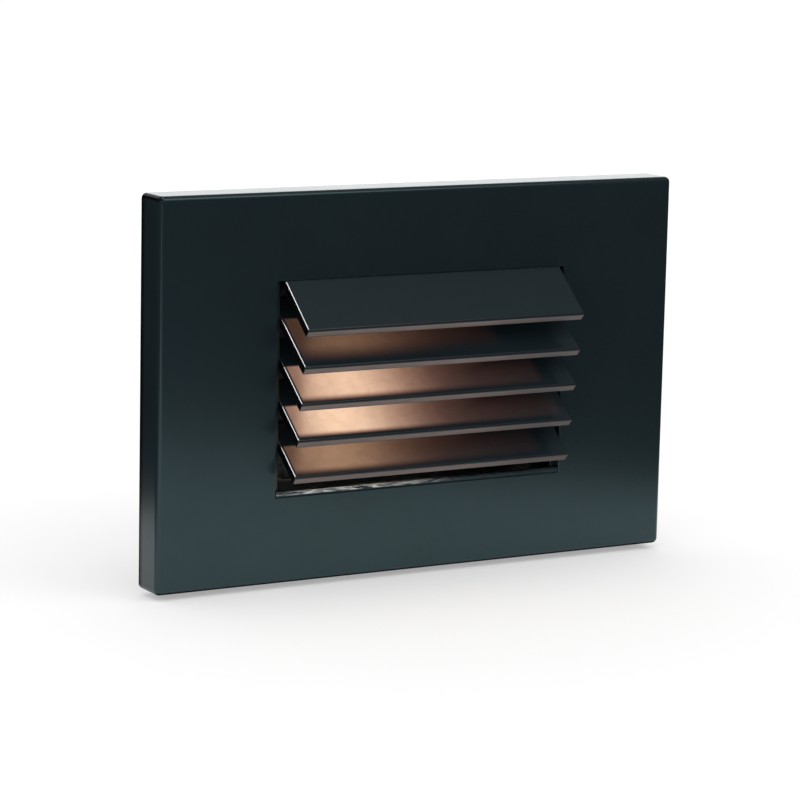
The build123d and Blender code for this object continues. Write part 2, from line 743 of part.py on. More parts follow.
# ----------------------------------------------------------------------------------------
# lamp: pad, board, chips, screws, and the reflector that flares from the chips to the pane
# ----------------------------------------------------------------------------------------
with BuildPart() as thermal_pad:
    with BuildSketch(seen_from_front(deck_front_y)):
        Rectangle(lamp_board_width, lamp_board_height)
        with Locations(*corners(lamp_screw_x, lamp_screw_z)):
            Circle(lamp_screw_radius + screw_hole_gap, mode=Mode.SUBTRACT)
    extrude(amount=thermal_pad_thickness)
finish(thermal_pad, "thermal_pad")

with BuildPart() as led_board:
    with BuildSketch(seen_from_front(lamp_board_rear_y)):
        Rectangle(lamp_board_width, lamp_board_height)
        with Locations(*corners(lamp_screw_x, lamp_screw_z)):
            Circle(lamp_screw_radius + screw_hole_gap, mode=Mode.SUBTRACT)
    extrude(amount=lamp_board_thickness)
finish(led_board, "led_board")

with BuildPart() as led_chips:
    with BuildSketch(seen_from_front(lamp_board_front_y)):
        with GridLocations(chip_spacing_x, chip_spacing_z, chip_columns, chip_rows):
            Rectangle(chip_size, chip_size)
    extrude(amount=chip_thickness)
finish(led_chips, "led_chips")

with BuildPart() as led_board_screws:
    with BuildSketch(seen_from_front(lamp_screw_depth)):
        with Locations(*corners(lamp_screw_x, lamp_screw_z)):
            Circle(lamp_screw_radius)
    extrude(amount=lamp_screw_depth - lamp_board_front_y)
    with BuildSketch(seen_from_front(lamp_board_front_y)):
        with Locations(*corners(lamp_screw_x, lamp_screw_z)):
            Circle(lamp_screw_head_radius)
    extrude(amount=lamp_screw_head_height)
finish(led_board_screws, "led_board_screws")

with BuildPart() as reflector:
    for grow, join in ((reflector_wall, Mode.ADD), (0.0, Mode.SUBTRACT)):
        inset = reflector_wall - grow
        corner = reflector_corner_radius - inset
        with BuildSketch(seen_from_front(lamp_board_front_y)):
            RectangleRounded(reflector_base_width + 2 * grow, reflector_base_height + 2 * grow, corner)
        with BuildSketch(seen_from_front(ledge_y)):
            RectangleRounded(reflector_rim_width - 2 * inset, reflector_rim_height - 2 * inset, corner)
        loft(mode=join)
finish(reflector, "reflector")

# ----------------------------------------------------------------------------------------
# leads from the driver board to the lamp board, through a rubber bush in the deck
# ----------------------------------------------------------------------------------------
lead_turn_y = (deck_rear_y + bush_flange_thickness + driver_front_y) / 2
lead_route = [
    (lead_start_x, lead_front_y),
    (lead_hole_x, lead_front_y),
    (lead_hole_x, lead_turn_y),
    (lead_end_x, lead_turn_y),
    (lead_end_x, driver_front_y),
]
for lead_z, lead_name in ((lead_spacing / 2, "positive"), (-lead_spacing / 2, "negative")):
    with BuildPart() as led_lead:
        with BuildLine():
            FilletPolyline(*[(x, y, lead_z) for x, y in lead_route], radius=lead_bend_radii)
        with BuildSketch(Plane(origin=(lead_start_x, lead_front_y, lead_z), z_dir=(1, 0, 0))):
            Circle(lead_radius)
        sweep()
    finish(led_lead, f"led_lead_{lead_name}")

with BuildPart() as deck_grommet:
    with BuildSketch(seen_from_front(deck_rear_y + bush_flange_thickness)):
        with Locations((lead_hole_x, 0)):
            Circle(bush_flange_radius)
    extrude(amount=bush_flange_thickness)
    with BuildSketch(seen_from_front(deck_rear_y)):
        with Locations((lead_hole_x, 0)):
            Circle(lead_hole_radius - screw_hole_gap)
    extrude(amount=deck_thickness)
    with BuildSketch(seen_from_front(deck_front_y)):
        with Locations((lead_hole_x, 0)):
            Circle(bush_flange_radius)
    extrude(amount=bush_flange_thickness)
    with BuildSketch(seen_from_front(deck_rear_y + bush_flange_thickness)):
        with Locations((lead_hole_x, 0)):
            Circle(bush_bore_radius)
    extrude(amount=deck_thickness + 2 * bush_flange_thickness, mode=Mode.SUBTRACT)
finish(deck_grommet, "deck_grommet")

# ----------------------------------------------------------------------------------------
# driver: insulating sheet, board on four stand-offs, and the components on its rear face
# ----------------------------------------------------------------------------------------
with BuildPart() as insulator_sheet:
    with BuildSketch(seen_from_front(deck_rear_y + insulator_thickness)):
        Rectangle(insulator_width, insulator_height)
        with Locations(*corners(standoff_x, standoff_z)):
            Circle(standoff_radius + screw_hole_gap, mode=Mode.SUBTRACT)
        with Locations((lead_hole_x, 0)):
            Circle(bush_flange_radius + screw_hole_gap, mode=Mode.SUBTRACT)
    extrude(amount=insulator_thickness)
finish(insulator_sheet, "insulator_sheet")

with BuildPart() as driver_board:
    with BuildSketch(seen_from_front(driver_rear_y)):
        Rectangle(driver_width, driver_height)
        with Locations(*corners(standoff_x, standoff_z)):
            Circle(driver_screw_radius + screw_hole_gap, mode=Mode.SUBTRACT)
    extrude(amount=driver_thickness)
finish(driver_board, "driver_board")

with BuildPart() as driver_board_screws:
    with BuildSketch(seen_from_front(driver_rear_y)):
        with Locations(*corners(standoff_x, standoff_z)):
            Circle(driver_screw_radius)
    extrude(amount=driver_screw_length)
    with BuildSketch(seen_from_front(driver_rear_y + driver_screw_head_height)):
        with Locations(*corners(standoff_x, standoff_z)):
            Circle(driver_screw_head_radius)
    extrude(amount=driver_screw_head_height)
finish(driver_board_screws, "driver_board_screws")

with BuildPart() as electrolytic_capacitor:
    with BuildSketch(seen_from_front(driver_rear_y + electrolytic_length)):
        with Locations((electrolytic_x, electrolytic_z)):
            Circle(electrolytic_radius)
    extrude(amount=electrolytic_length)
    fillet(electrolytic_capacitor.faces().sort_by(Axis.Y)[-1].edges(), radius=electrolytic_radius / 8)
finish(electrolytic_capacitor, "electrolytic_capacitor")

with BuildPart() as film_capacitor:
    with BuildSketch(seen_from_front(driver_rear_y + film_length)):
        with Locations((film_x, film_z)):
            Rectangle(film_width, film_height)
    extrude(amount=film_length)
    fillet(film_capacitor.edges().filter_by(Axis.Y), radius=film_height / 12)
finish(film_capacitor, "film_capacitor")

with BuildPart() as transformer_core:
    with BuildSketch(seen_from_front(driver_rear_y + core_length)):
        with Locations((core_x, core_z)):
            Rectangle(core_width, core_height)
    extrude(amount=core_length)
    with BuildSketch(seen_from_front(driver_rear_y + core_length - core_yoke)):
        leg_gap = (core_width - core_leg_width - 2 * core_yoke) / 2
        leg_gap_x = core_leg_width / 2 + leg_gap / 2
        with Locations((core_x - leg_gap_x, core_z), (core_x + leg_gap_x, core_z)):
            Rectangle(leg_gap, core_height)
    extrude(amount=core_length - 2 * core_yoke, mode=Mode.SUBTRACT)
finish(transformer_core, "transformer_core")

with BuildPart() as transformer_winding:
    winding_length = core_length - 2 * core_yoke - 2 * winding_gap
    winding_width = core_leg_width + 2 * leg_gap - 2 * winding_gap
    with BuildSketch(seen_from_front(driver_rear_y + core_length - core_yoke - winding_gap)):
        with Locations((core_x, core_z)):
            RectangleRounded(winding_width, winding_height, core_leg_width / 2)
            Rectangle(core_leg_width + winding_gap, core_height + winding_gap, mode=Mode.SUBTRACT)
    extrude(amount=winding_length)
finish(transformer_winding, "transformer_winding")

with BuildPart() as bridge_rectifier:
    with BuildSketch(seen_from_front(driver_rear_y + bridge_thickness)):
        with Locations((bridge_x, bridge_z)):
            Rectangle(bridge_width, bridge_height)
    extrude(amount=bridge_thickness)
finish(bridge_rectifier, "bridge_rectifier")

with BuildPart() as control_chip:
    with BuildSketch(seen_from_front(driver_rear_y + control_thickness)):
        with Locations((control_x, control_z)):
            Rectangle(control_width, control_height)
    extrude(amount=control_thickness)
finish(control_chip, "control_chip")

with BuildPart() as fusible_resistor:
    with BuildSketch(seen_from_left_end(fuse_x - fuse_length / 2)):
        with Locations((driver_rear_y + fuse_radius, fuse_z)):
            Circle(fuse_radius)
    extrude(amount=fuse_length)
    fillet(fusible_resistor.edges().filter_by(GeomType.CIRCLE), radius=fuse_radius / 3)
finish(fusible_resistor, "fusible_resistor")

# ----------------------------------------------------------------------------------------
# back: seal, cover plate, its screws and the bush where the supply leads come in
# ----------------------------------------------------------------------------------------
with BuildPart() as rear_gasket:
    with BuildSketch(seen_from_front(back_seal_rear_y)):
        RectangleRounded(can_width, can_height, can_corner_radius)
        RectangleRounded(can_inner_width, can_inner_height, can_inner_radius, mode=Mode.SUBTRACT)
        with Locations(*corners(corner_boss_x, corner_boss_z)):
            Circle(corner_boss_radius)
        with Locations(*corners(corner_boss_x, corner_boss_z)):
            Circle(back_screw_radius + back_screw_hole_gap, mode=Mode.SUBTRACT)
    extrude(amount=back_seal_thickness)
finish(rear_gasket, "rear_gasket")

with BuildPart() as rear_cover:
    with BuildSketch(seen_from_front(back_cover_rear_y)):
        RectangleRounded(can_width, can_height, can_corner_radius)
        with Locations(*corners(corner_boss_x, corner_boss_z)):
            Circle(back_screw_radius + back_screw_hole_gap, mode=Mode.SUBTRACT)
        with Locations((inlet_x, 0)):
            Circle(inlet_hole_radius, mode=Mode.SUBTRACT)
    extrude(amount=back_cover_thickness)
finish(rear_cover, "rear_cover")

with BuildPart() as rear_cover_screws:
    with BuildSketch(seen_from_front(back_cover_rear_y)):
        with Locations(*corners(corner_boss_x, corner_boss_z)):
            Circle(back_screw_radius)
    extrude(amount=back_screw_length)
    with BuildSketch(seen_from_front(back_cover_rear_y + back_screw_head_height)):
        with Locations(*corners(corner_boss_x, corner_boss_z)):
            Circle(back_screw_head_radius)
    extrude(amount=back_screw_head_height)
    fillet(rear_cover_screws.edges().group_by(Axis.Y)[-1], radius=back_screw_head_height / 2)
    with BuildSketch(seen_from_front(back_cover_rear_y + back_screw_head_height)):
        with Locations(*corners(corner_boss_x, corner_boss_z)):
            Rectangle(back_screw_head_radius * 1.2, driver_slot_width)
            Rectangle(driver_slot_width, back_screw_head_radius * 1.2)
    extrude(amount=driver_slot_depth, mode=Mode.SUBTRACT)
finish(rear_cover_screws, "rear_cover_screws")

with BuildPart() as supply_grommet:
    with BuildSketch(seen_from_front(back_cover_rear_y + inlet_flange_thickness)):
        with Locations((inlet_x, 0)):
            Circle(inlet_flange_radius)
    extrude(amount=inlet_flange_thickness)
    with BuildSketch(seen_from_front(back_cover_rear_y)):
        with Locations((inlet_x, 0)):
            Circle(inlet_hole_radius - screw_hole_gap)
    extrude(amount=back_cover_thickness)
    with BuildSketch(seen_from_front(back_seal_rear_y)):
        with Locations((inlet_x, 0)):
            Circle(inlet_flange_radius)
    extrude(amount=inlet_flange_thickness)
    with BuildSketch(seen_from_front(back_cover_rear_y + inlet_flange_thickness)):
        with Locations((inlet_x, 0)):
            Circle(inlet_bore_radius)
    extrude(amount=back_cover_thickness + 2 * inlet_flange_thickness, mode=Mode.SUBTRACT)
finish(supply_grommet, "supply_grommet")
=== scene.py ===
"""Step light with louvers: finishes, small parts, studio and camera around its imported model.

Metres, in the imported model's own frame: X to the right, Y into the wall, Z up, with the origin on the
wall's face midway between the two box screws.
"""

import logging
import math
from dataclasses import dataclass, replace
from enum import Enum
from typing import Callable, ClassVar, Sequence

import bmesh
import bpy
from mathutils import Matrix, Vector

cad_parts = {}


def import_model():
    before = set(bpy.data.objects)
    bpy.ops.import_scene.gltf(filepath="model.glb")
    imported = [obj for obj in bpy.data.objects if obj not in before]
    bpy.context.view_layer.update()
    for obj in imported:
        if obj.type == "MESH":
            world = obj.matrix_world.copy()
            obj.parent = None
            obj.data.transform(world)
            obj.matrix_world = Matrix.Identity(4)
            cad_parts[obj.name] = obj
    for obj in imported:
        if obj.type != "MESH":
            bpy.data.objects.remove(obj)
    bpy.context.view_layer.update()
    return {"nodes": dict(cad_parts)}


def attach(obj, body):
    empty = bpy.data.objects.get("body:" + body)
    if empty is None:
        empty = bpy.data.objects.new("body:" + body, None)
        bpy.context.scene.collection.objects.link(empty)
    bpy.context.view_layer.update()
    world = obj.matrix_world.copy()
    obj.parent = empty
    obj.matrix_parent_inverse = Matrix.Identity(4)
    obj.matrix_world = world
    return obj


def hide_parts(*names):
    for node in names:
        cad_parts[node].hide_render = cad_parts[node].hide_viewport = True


LOG = logging.getLogger("step_light")
MM = 0.001
FULL_GLOSS = 0.5  # the shader's own specular level
FACING = 0.9  # a face's normal above this along an axis looks that way
OVERSHOOT = 1.0  # how far a cutting shape reaches past the surface, in millimetres
WAVE_LENGTH = 0.3  # of a Wave texture at scale 1, in metres
UPRIGHT = math.pi / 2
BLADE_SLOPE = math.radians(38.5)
Colour = tuple[float, float, float]
Triple = tuple[float, float, float]
Socket = bpy.types.NodeSocket
Parts = bpy.types.bpy_prop_collection


class Body(Enum):
    """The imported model's bodies, by name."""

    WALL = "wall_unit"
    COVER = "cover_unit"
    LEFT_SCREW = "left_set_screw"
    RIGHT_SCREW = "right_set_screw"


# --- Shader trees ---
@dataclass(frozen=True)
class Ramp:
    """How a number changes from low to high while another goes from start to end; soft eases it in and out."""

    start: float
    end: float
    low: float = 0.0
    high: float = 1.0
    soft: bool = False


CLOUDS = Ramp(0.3, 0.7)  # where nearly all values of a noise lie


class Tree:
    """A tree of shader nodes."""

    def __init__(self, tree: bpy.types.NodeTree) -> None:
        """Keep the tree."""
        self.tree = tree

    def add(self, kind: str, **settings: object) -> bpy.types.Node:
        """Add a node.

        Args:
            kind: Blender's name for the node's type.
            **settings: Attributes of the node, by name.

        Returns:
            The new node.
        """
        node = self.tree.nodes.new(kind)
        for key, value in settings.items():
            setattr(node, key, value)
        return node

    def feed(self, socket: Socket, value: object) -> None:
        """Link or set an input.

        Args:
            socket: The input.
            value: Another node's output, or a plain value.
        """
        if isinstance(value, bpy.types.NodeSocket):
            self.tree.links.new(value, socket)
        else:
            socket.default_value = value

    def fill(self, node: bpy.types.Node, *values: object) -> None:
        """Link or set a node's first inputs."""
        for socket, value in zip(node.inputs, values):
            self.feed(socket, value)

    def math(self, operation: str, *values: object) -> Socket:
        """Combine numbers.

        Args:
            operation: The Math node's operation.
            *values: One to three outputs or numbers.

        Returns:
            The result.
        """
        node = self.add("ShaderNodeMath", operation=operation)
        self.fill(node, *values)
        return node.outputs[0]

    def times(self, product: Socket, *others: object) -> Socket:
        """Multiply numbers, one after the other.

        Args:
            product: The first number.
            *others: Outputs or numbers.

        Returns:
            The product.
        """
        for other in others:
            product = self.math("MULTIPLY", product, other)
        return product

    def ramp(self, value: Socket, ramp: Ramp) -> Socket:
        """Bring a number from one range to another, kept inside the new one.

        Args:
            value: The number.
            ramp: The two ranges.

        Returns:
            The new number.
        """
        node = self.add("ShaderNodeMapRange", interpolation_type="SMOOTHSTEP" if ramp.soft else "LINEAR")
        self.fill(node, value, ramp.start, ramp.end, ramp.low, ramp.high)
        return node.outputs[0]

    def seen(self) -> Socket:
        """1 for a ray that sees the studio itself, 0 for one that only gathers light."""
        path = self.add("ShaderNodeLightPath").outputs
        glossy = self.math("MAXIMUM", path["Is Camera Ray"], path["Is Glossy Ray"])
        return self.math("MAXIMUM", glossy, path["Is Transmission Ray"])


class Graph(Tree):
    """The node tree of one finish, which ends in a Principled shader."""

    def __init__(self, name: str) -> None:
        """Start an empty finish.

        Args:
            name: The material's name.
        """
        self.material = bpy.data.materials.new(name)
        self.material.use_nodes = True
        super().__init__(self.material.node_tree)
        self.shader = self.tree.nodes["Principled BSDF"]
        self.point = self.add("ShaderNodeTexCoord").outputs["Object"]

    def set(self, name: str, value: object) -> None:
        """Link or set an input of the shader, by its name."""
        self.feed(self.shader.inputs[name], value)

    def pattern(
        self, kind: str, size: float, inputs: dict[str, float], stretch: Triple = (1, 1, 1), turn: Triple = (0, 0, 0)
    ) -> bpy.types.Node:
        """Add a texture on the object's own coordinates.

        Args:
            kind: Blender's name for the texture's type.
            size: Size of its features in metres.
            inputs: More inputs of the texture, by name.
            stretch: How much denser it is along each axis.
            turn: Its rotation.

        Returns:
            The texture's node.
        """
        node, place = self.add(kind), self.add("ShaderNodeMapping")
        self.feed(place.inputs["Vector"], self.point)
        self.feed(place.inputs["Rotation"], turn)
        self.feed(place.inputs["Scale"], stretch)
        self.feed(node.inputs["Vector"], place.outputs[0])
        for name, value in (("Scale", 1 / size), *inputs.items()):
            self.feed(node.inputs[name], value)
        return node

    def noise(self, size: float, detail: float = 2.0, stretch: Triple = (1, 1, 1), swirl: float = 0.0) -> Socket:
        """Cloudy noise.

        Args:
            size: Size of its patches in metres.
            detail: How many finer layers it has.
            stretch: How much denser it is along each axis.
            swirl: How much it swirls.

        Returns:
            A number from 0 to 1.
        """
        inputs = {"Detail": detail, "Distortion": swirl}
        return self.pattern("ShaderNodeTexNoise", size, inputs, stretch).outputs[0]

    def cells(self, size: float) -> Socket:
        """Distance to the middle of the nearest cell of a pattern."""
        return self.pattern("ShaderNodeTexVoronoi", size, {}).outputs["Distance"]

    def bands(self, direction: str, length: float, waver: float) -> Socket:
        """Soft parallel bands.

        Args:
            direction: The axis that they follow one another along, or DIAGONAL.
            length: Their distance in metres.
            waver: How much they waver.

        Returns:
            A number from 0 to 1.
        """
        wave = self.pattern("ShaderNodeTexWave", length / WAVE_LENGTH, {"Distortion": waver})
        wave.bands_direction = direction
        return wave.outputs["Fac"]

    def axes(self, vector: Socket) -> Parts:
        """The parts of a vector, by the names X, Y and Z."""
        node = self.add("ShaderNodeSeparateXYZ")
        self.feed(node.inputs[0], vector)
        return node.outputs

    def facing(self) -> Parts:
        """The parts of the surface's own direction, by the names X, Y and Z."""
        return self.axes(self.add("ShaderNodeNewGeometry").outputs["True Normal"])

    def blend(self, factor: Socket, first: object, second: object) -> Socket:
        """Mix two colours.

        Args:
            factor: 0 for the first and 1 for the second.
            first: A colour or output.
            second: A colour or output.

        Returns:
            The mixed colour.
        """
        node = self.add("ShaderNodeMix", data_type="RGBA")
        self.feed(node.inputs[0], factor)
        for socket, value in ((node.inputs[6], first), (node.inputs[7], second)):
            self.feed(socket, value if isinstance(value, bpy.types.NodeSocket) else (*value, 1.0))
        return node.outputs[2]

    def relief(self, height: Socket, depth: float, below: Socket | None = None) -> Socket:
        """Bump.

        Args:
            height: A number from 0 to 1.
            depth: How deep 1 is, in metres.
            below: The normal of a coarser relief.

        Returns:
            The new normal.
        """
        node = self.add("ShaderNodeBump")
        self.feed(node.inputs["Distance"], depth)
        self.feed(node.inputs["Height"], height)
        if below is not None:
            self.feed(node.inputs["Normal"], below)
        return node.outputs[0]


# --- Finishes ---
@dataclass(frozen=True)
class Finish:
    """A surface whose colour, gloss and relief wander a little, as on the real thing.

    Sizes are in metres and colours are linear.
    """

    name: str
    dark: Colour
    light: Colour
    patch: float = 0.004
    smooth: float = 0.4
    rough: float = 0.5
    grain: float = 0.0005
    grain_depth: float = 0.000006
    metal: float = 0.0
    ior: float = 1.5

    def make(self) -> bpy.types.Material:
        """Build the material."""
        graph = Graph(self.name)
        graph.set("Metallic", self.metal)
        graph.set("IOR", self.ior)
        patches = graph.noise(self.patch, detail=3.0)
        graph.set("Base Color", self.colour(graph, graph.ramp(patches, CLOUDS)))
        graph.set("Roughness", graph.ramp(patches, replace(CLOUDS, low=self.rough, high=self.smooth)))
        graph.set("Normal", self.surface(graph))
        self.extra(graph)
        return graph.material

    def colour(self, graph: Graph, spread: Socket) -> Socket:
        """Colour of the surface, from the patches' number."""
        return graph.blend(spread, self.dark, self.light)

    def surface(self, graph: Graph) -> Socket:
        """Normal of the surface, with its finest relief."""
        return self.fine(graph)

    def fine(self, graph: Graph, below: Socket | None = None, detail: float = 2.0) -> Socket:
        """The finest grain, over the normal of a coarser relief where there is one."""
        return graph.relief(graph.noise(self.grain, detail), self.grain_depth, below)

    def extra(self, graph: Graph) -> None:
        """What a special finish adds."""


@dataclass(frozen=True)
class GlossPaint(Finish):
    """Baked paint with a slight orange-peel ripple and a cool tint in its reflections."""

    ripple: float = 0.0016
    ripple_depth: float = 0.0000035
    tint: Colour = (0.62, 0.96, 1.0)

    def surface(self, graph: Graph) -> Socket:
        """Fine grain over a wider ripple."""
        return self.fine(graph, graph.relief(graph.noise(self.ripple, detail=1.0), self.ripple_depth))

    def extra(self, graph: Graph) -> None:
        """Tint the reflections."""
        graph.set("Specular Tint", (*self.tint, 1.0))


@dataclass(frozen=True)
class CoverPaint(GlossPaint):
    """The same paint on the cover with painted shade: duller on the left side, dark along its lower edge, corners and
    rear rim.
    """

    left: Ramp = Ramp(-0.95, -0.85)
    under: Ramp = Ramp(-0.62, -0.42)
    corner: Ramp = Ramp(0.10, 0.30, 1.0, 0.1)
    rim: Ramp = Ramp(-0.0020, -0.0006, 1.0, 0.15)
    side_gloss: float = 0.30
    # Colour of the painted shade along the lower edge, corners and rear rim.
    painted_shade: Colour = (0.0008, 0.0010, 0.0012)

    def colour(self, graph: Graph, spread: Socket) -> Socket:
        """Paint with painted shade along the edges that see no light, where it loses its gloss too.

        Args:
            graph: The tree to add to.
            spread: The patches' number.

        Returns:
            The colour.
        """
        facing = graph.facing()
        corner = graph.math("MINIMUM", graph.times(facing["X"], -1.0), facing["Z"])
        rim = graph.ramp(graph.axes(graph.point)["Y"], self.rim)
        rim = graph.math("MAXIMUM", rim, graph.ramp(facing["X"], self.left))
        lit = graph.times(graph.ramp(facing["Z"], self.under), graph.ramp(corner, self.corner), rim)
        gloss = graph.ramp(facing["X"], replace(self.left, low=self.side_gloss, high=FULL_GLOSS))
        graph.set("Specular IOR Level", graph.times(lit, gloss))
        return graph.blend(lit, self.painted_shade, super().colour(graph, spread))


@dataclass(frozen=True)
class EdgedPaint(GlossPaint):
    """The same paint on the blades: a painted highlight on the lower part of each front edge, painted warm lamp light
    in its reflections, and painted shade on the dull left end.
    """

    # Painted highlight: pale colour on the lower part of each front edge, where it mirrors the white floor.
    edge: Colour = (0.160, 0.125, 0.115)
    # Warm painted lamp light in the front edge's reflections.
    painted_warm_tint: Colour = (1.0, 0.80, 0.72)
    end_shade: Colour = (0.0030, 0.0032, 0.0040)
    end_gloss: float = 0.04
    front: Ramp = Ramp(-0.76, -0.68, 1.0, 0.0)
    forward: Ramp = Ramp(-0.70, -0.55, 1.0, 0.0)
    downward: Ramp = Ramp(-0.50, -0.30, 1.0, 0.0)
    left: Ramp = Ramp(-0.97, -0.90, 1.0, 0.0)
    pale: Ramp = Ramp(0.004, 0.026, 1.0, 0.25, True)
    streaks: Ramp = Ramp(0.3, 0.7, 0.75, 1.0)
    streak: float = 0.0015
    streak_stretch: Triple = (0.25, 1.0, 1.0)

    def colour(self, graph: Graph, spread: Socket) -> Socket:
        """Paint with a painted highlight where the surface looks forward and down, and painted shade at the left end.

        Args:
            graph: The tree to add to.
            spread: The patches' number.

        Returns:
            The colour.
        """
        facing = graph.facing()
        # Where the painted highlight lies: the front edge's lower part, in streaks, fainter to the right.
        share = graph.times(
            graph.ramp(graph.axes(graph.point)["X"], self.pale),
            graph.ramp(facing["Y"], self.forward),
            graph.ramp(facing["Z"], self.downward),
            graph.ramp(graph.noise(self.streak, 3.0, self.streak_stretch), self.streaks),
        )
        painted = graph.blend(self.ends(graph), super().colour(graph, spread), self.end_shade)
        return graph.blend(share, painted, self.edge)

    def ends(self, graph: Graph) -> Socket:
        """1 on the blade's left end, which looks into the dark gap beside it and takes painted shade, otherwise 0."""
        return graph.ramp(graph.facing()["X"], self.left)

    def gloss(self, graph: Graph) -> Socket:
        """How strongly the paint mirrors: less on the left end, as painted shade."""
        return graph.ramp(self.ends(graph), Ramp(0.0, 1.0, FULL_GLOSS, self.end_gloss))

    def extra(self, graph: Graph) -> None:
        """Tint the reflections, those of the front edge warm as painted lamp light, and dull the left end as painted
        shade.
        """
        front = graph.ramp(graph.facing()["Y"], self.front)
        graph.set("Specular Tint", graph.blend(front, self.tint, self.painted_warm_tint))
        graph.set("Specular IOR Level", self.gloss(graph))


@dataclass(frozen=True)
class Glow:
    """Painted warm light on one blade's upper surface, emission standing in for the lamp's light.

    Lengths are in millimetres: those in x run along the blade, and runs go up its slope from the front edge.
    """

    front_y: float
    peak: float
    tail: float
    middle_x: float
    end_x: float
    start_run: float
    full_run: float
    back_run: float
    spread: float = 9.5
    tail_length: float = 18.0
    end_softness: float = 1.2
    back_softness: float = 0.7
    green: float = 0.674
    green_power: float = 1.138
    blue: float = 0.46
    blue_power: float = 1.127


@dataclass(frozen=True)
class LitPaint(EdgedPaint):
    """The same paint on a blade, with painted lamp light as if lit from behind and painted shade deep in the gap; its
    ramps of lengths are in millimetres.
    """

    glow: Glow | None = None
    first_end: Ramp = Ramp(-33.75, -33.30, 0.0, 1.0, True)
    shade: Ramp = Ramp(-37.025, -32.525, 0.55, 1.0, True)
    shade_lean: float = 0.55
    # Painted shade deep in the gap under the blade above: the painted light and the gloss fade up the slope and to
    # the right.
    fade_run: Ramp = Ramp(4.0, 11.0, 1.0, 0.0, True)
    fade_across: Ramp = Ramp(6.0, 22.0, 1.0, 0.0, True)
    gloss_run: Ramp = Ramp(1.5, 8.5, FULL_GLOSS, 0.02, True)
    gloss_across: Ramp = Ramp(-6.0, 16.0, FULL_GLOSS, 0.0, True)
    back_gloss: float = 0.1
    upward: Ramp = Ramp(0.5, 0.7)
    mottle: Ramp = Ramp(0.3, 0.7, 0.93, 1.06)
    mottle_size: float = 0.0022

    def place(self, graph: Graph) -> tuple[Socket, Socket]:
        """Where a point lies on the blade.

        Args:
            graph: The tree to add to.

        Returns:
            Its place along the blade, and up the slope from the front edge, in millimetres.
        """
        axes = graph.axes(graph.point)
        depth = graph.math("SUBTRACT", graph.times(axes["Y"], 1 / MM), self.glow.front_y)
        return graph.times(axes["X"], 1 / MM), graph.math("DIVIDE", depth, math.cos(BLADE_SLOPE))

    def reached(self, graph: Graph, run: Socket) -> Socket:
        """1 on the part of the slope that the painted lamp light reaches, 0 behind it."""
        back = self.glow.back_run
        return graph.ramp(run, Ramp(back - self.glow.back_softness, back, 1.0, 0.0, True))

    def gloss(self, graph: Graph) -> Socket:
        """How strongly the paint mirrors, with painted shade: less and less into the dark gap.

        Args:
            graph: The tree to add to.

        Returns:
            The specular level.
        """
        across, run = self.place(graph)
        gloss = graph.math("MAXIMUM", graph.ramp(run, self.gloss_run), graph.ramp(across, self.gloss_across))
        gloss = graph.math("MINIMUM", gloss, super().gloss(graph))
        return graph.times(gloss, graph.math("MAXIMUM", self.reached(graph, run), self.back_gloss))

    def extra(self, graph: Graph) -> None:
        """Add the painted lamp light, as emission, on the faces that look up.

        Args:
            graph: The tree to add to.
        """
        super().extra(graph)
        glow = self.glow
        across, run = self.place(graph)
        offset = graph.math("DIVIDE", graph.math("SUBTRACT", across, glow.middle_x), glow.spread)
        bell = graph.math("EXPONENT", graph.times(offset, offset, -0.5))
        beyond = graph.math("MAXIMUM", graph.math("SUBTRACT", across, glow.middle_x + 2 * glow.spread), 0.0)
        tail = graph.math("EXPONENT", graph.math("DIVIDE", beyond, -glow.tail_length))
        light = graph.times(
            graph.math("MULTIPLY_ADD", bell, glow.peak, graph.times(tail, glow.tail)),
            graph.ramp(across, Ramp(glow.end_x - glow.end_softness, glow.end_x + glow.end_softness, 1.0, 0.0, True)),
            graph.ramp(across, self.first_end),
            graph.ramp(run, Ramp(glow.start_run, glow.full_run, soft=True)),
            graph.ramp(graph.math("MULTIPLY_ADD", run, -self.shade_lean, across), self.shade),
            graph.math("MAXIMUM", graph.ramp(run, self.fade_run), graph.ramp(across, self.fade_across)),
            self.reached(graph, run),
            graph.ramp(graph.facing()["Z"], self.upward),
            graph.ramp(graph.noise(self.mottle_size, detail=3.0), self.mottle),
        )
        green = graph.times(graph.math("POWER", light, glow.green_power), glow.green)
        blue = graph.times(graph.math("POWER", light, glow.blue_power), glow.blue)
        mixed = graph.add("ShaderNodeCombineColor")
        graph.fill(mixed, light, green, blue)
        graph.set("Emission Color", mixed.outputs[0])
        graph.set("Emission Strength", 1.0)


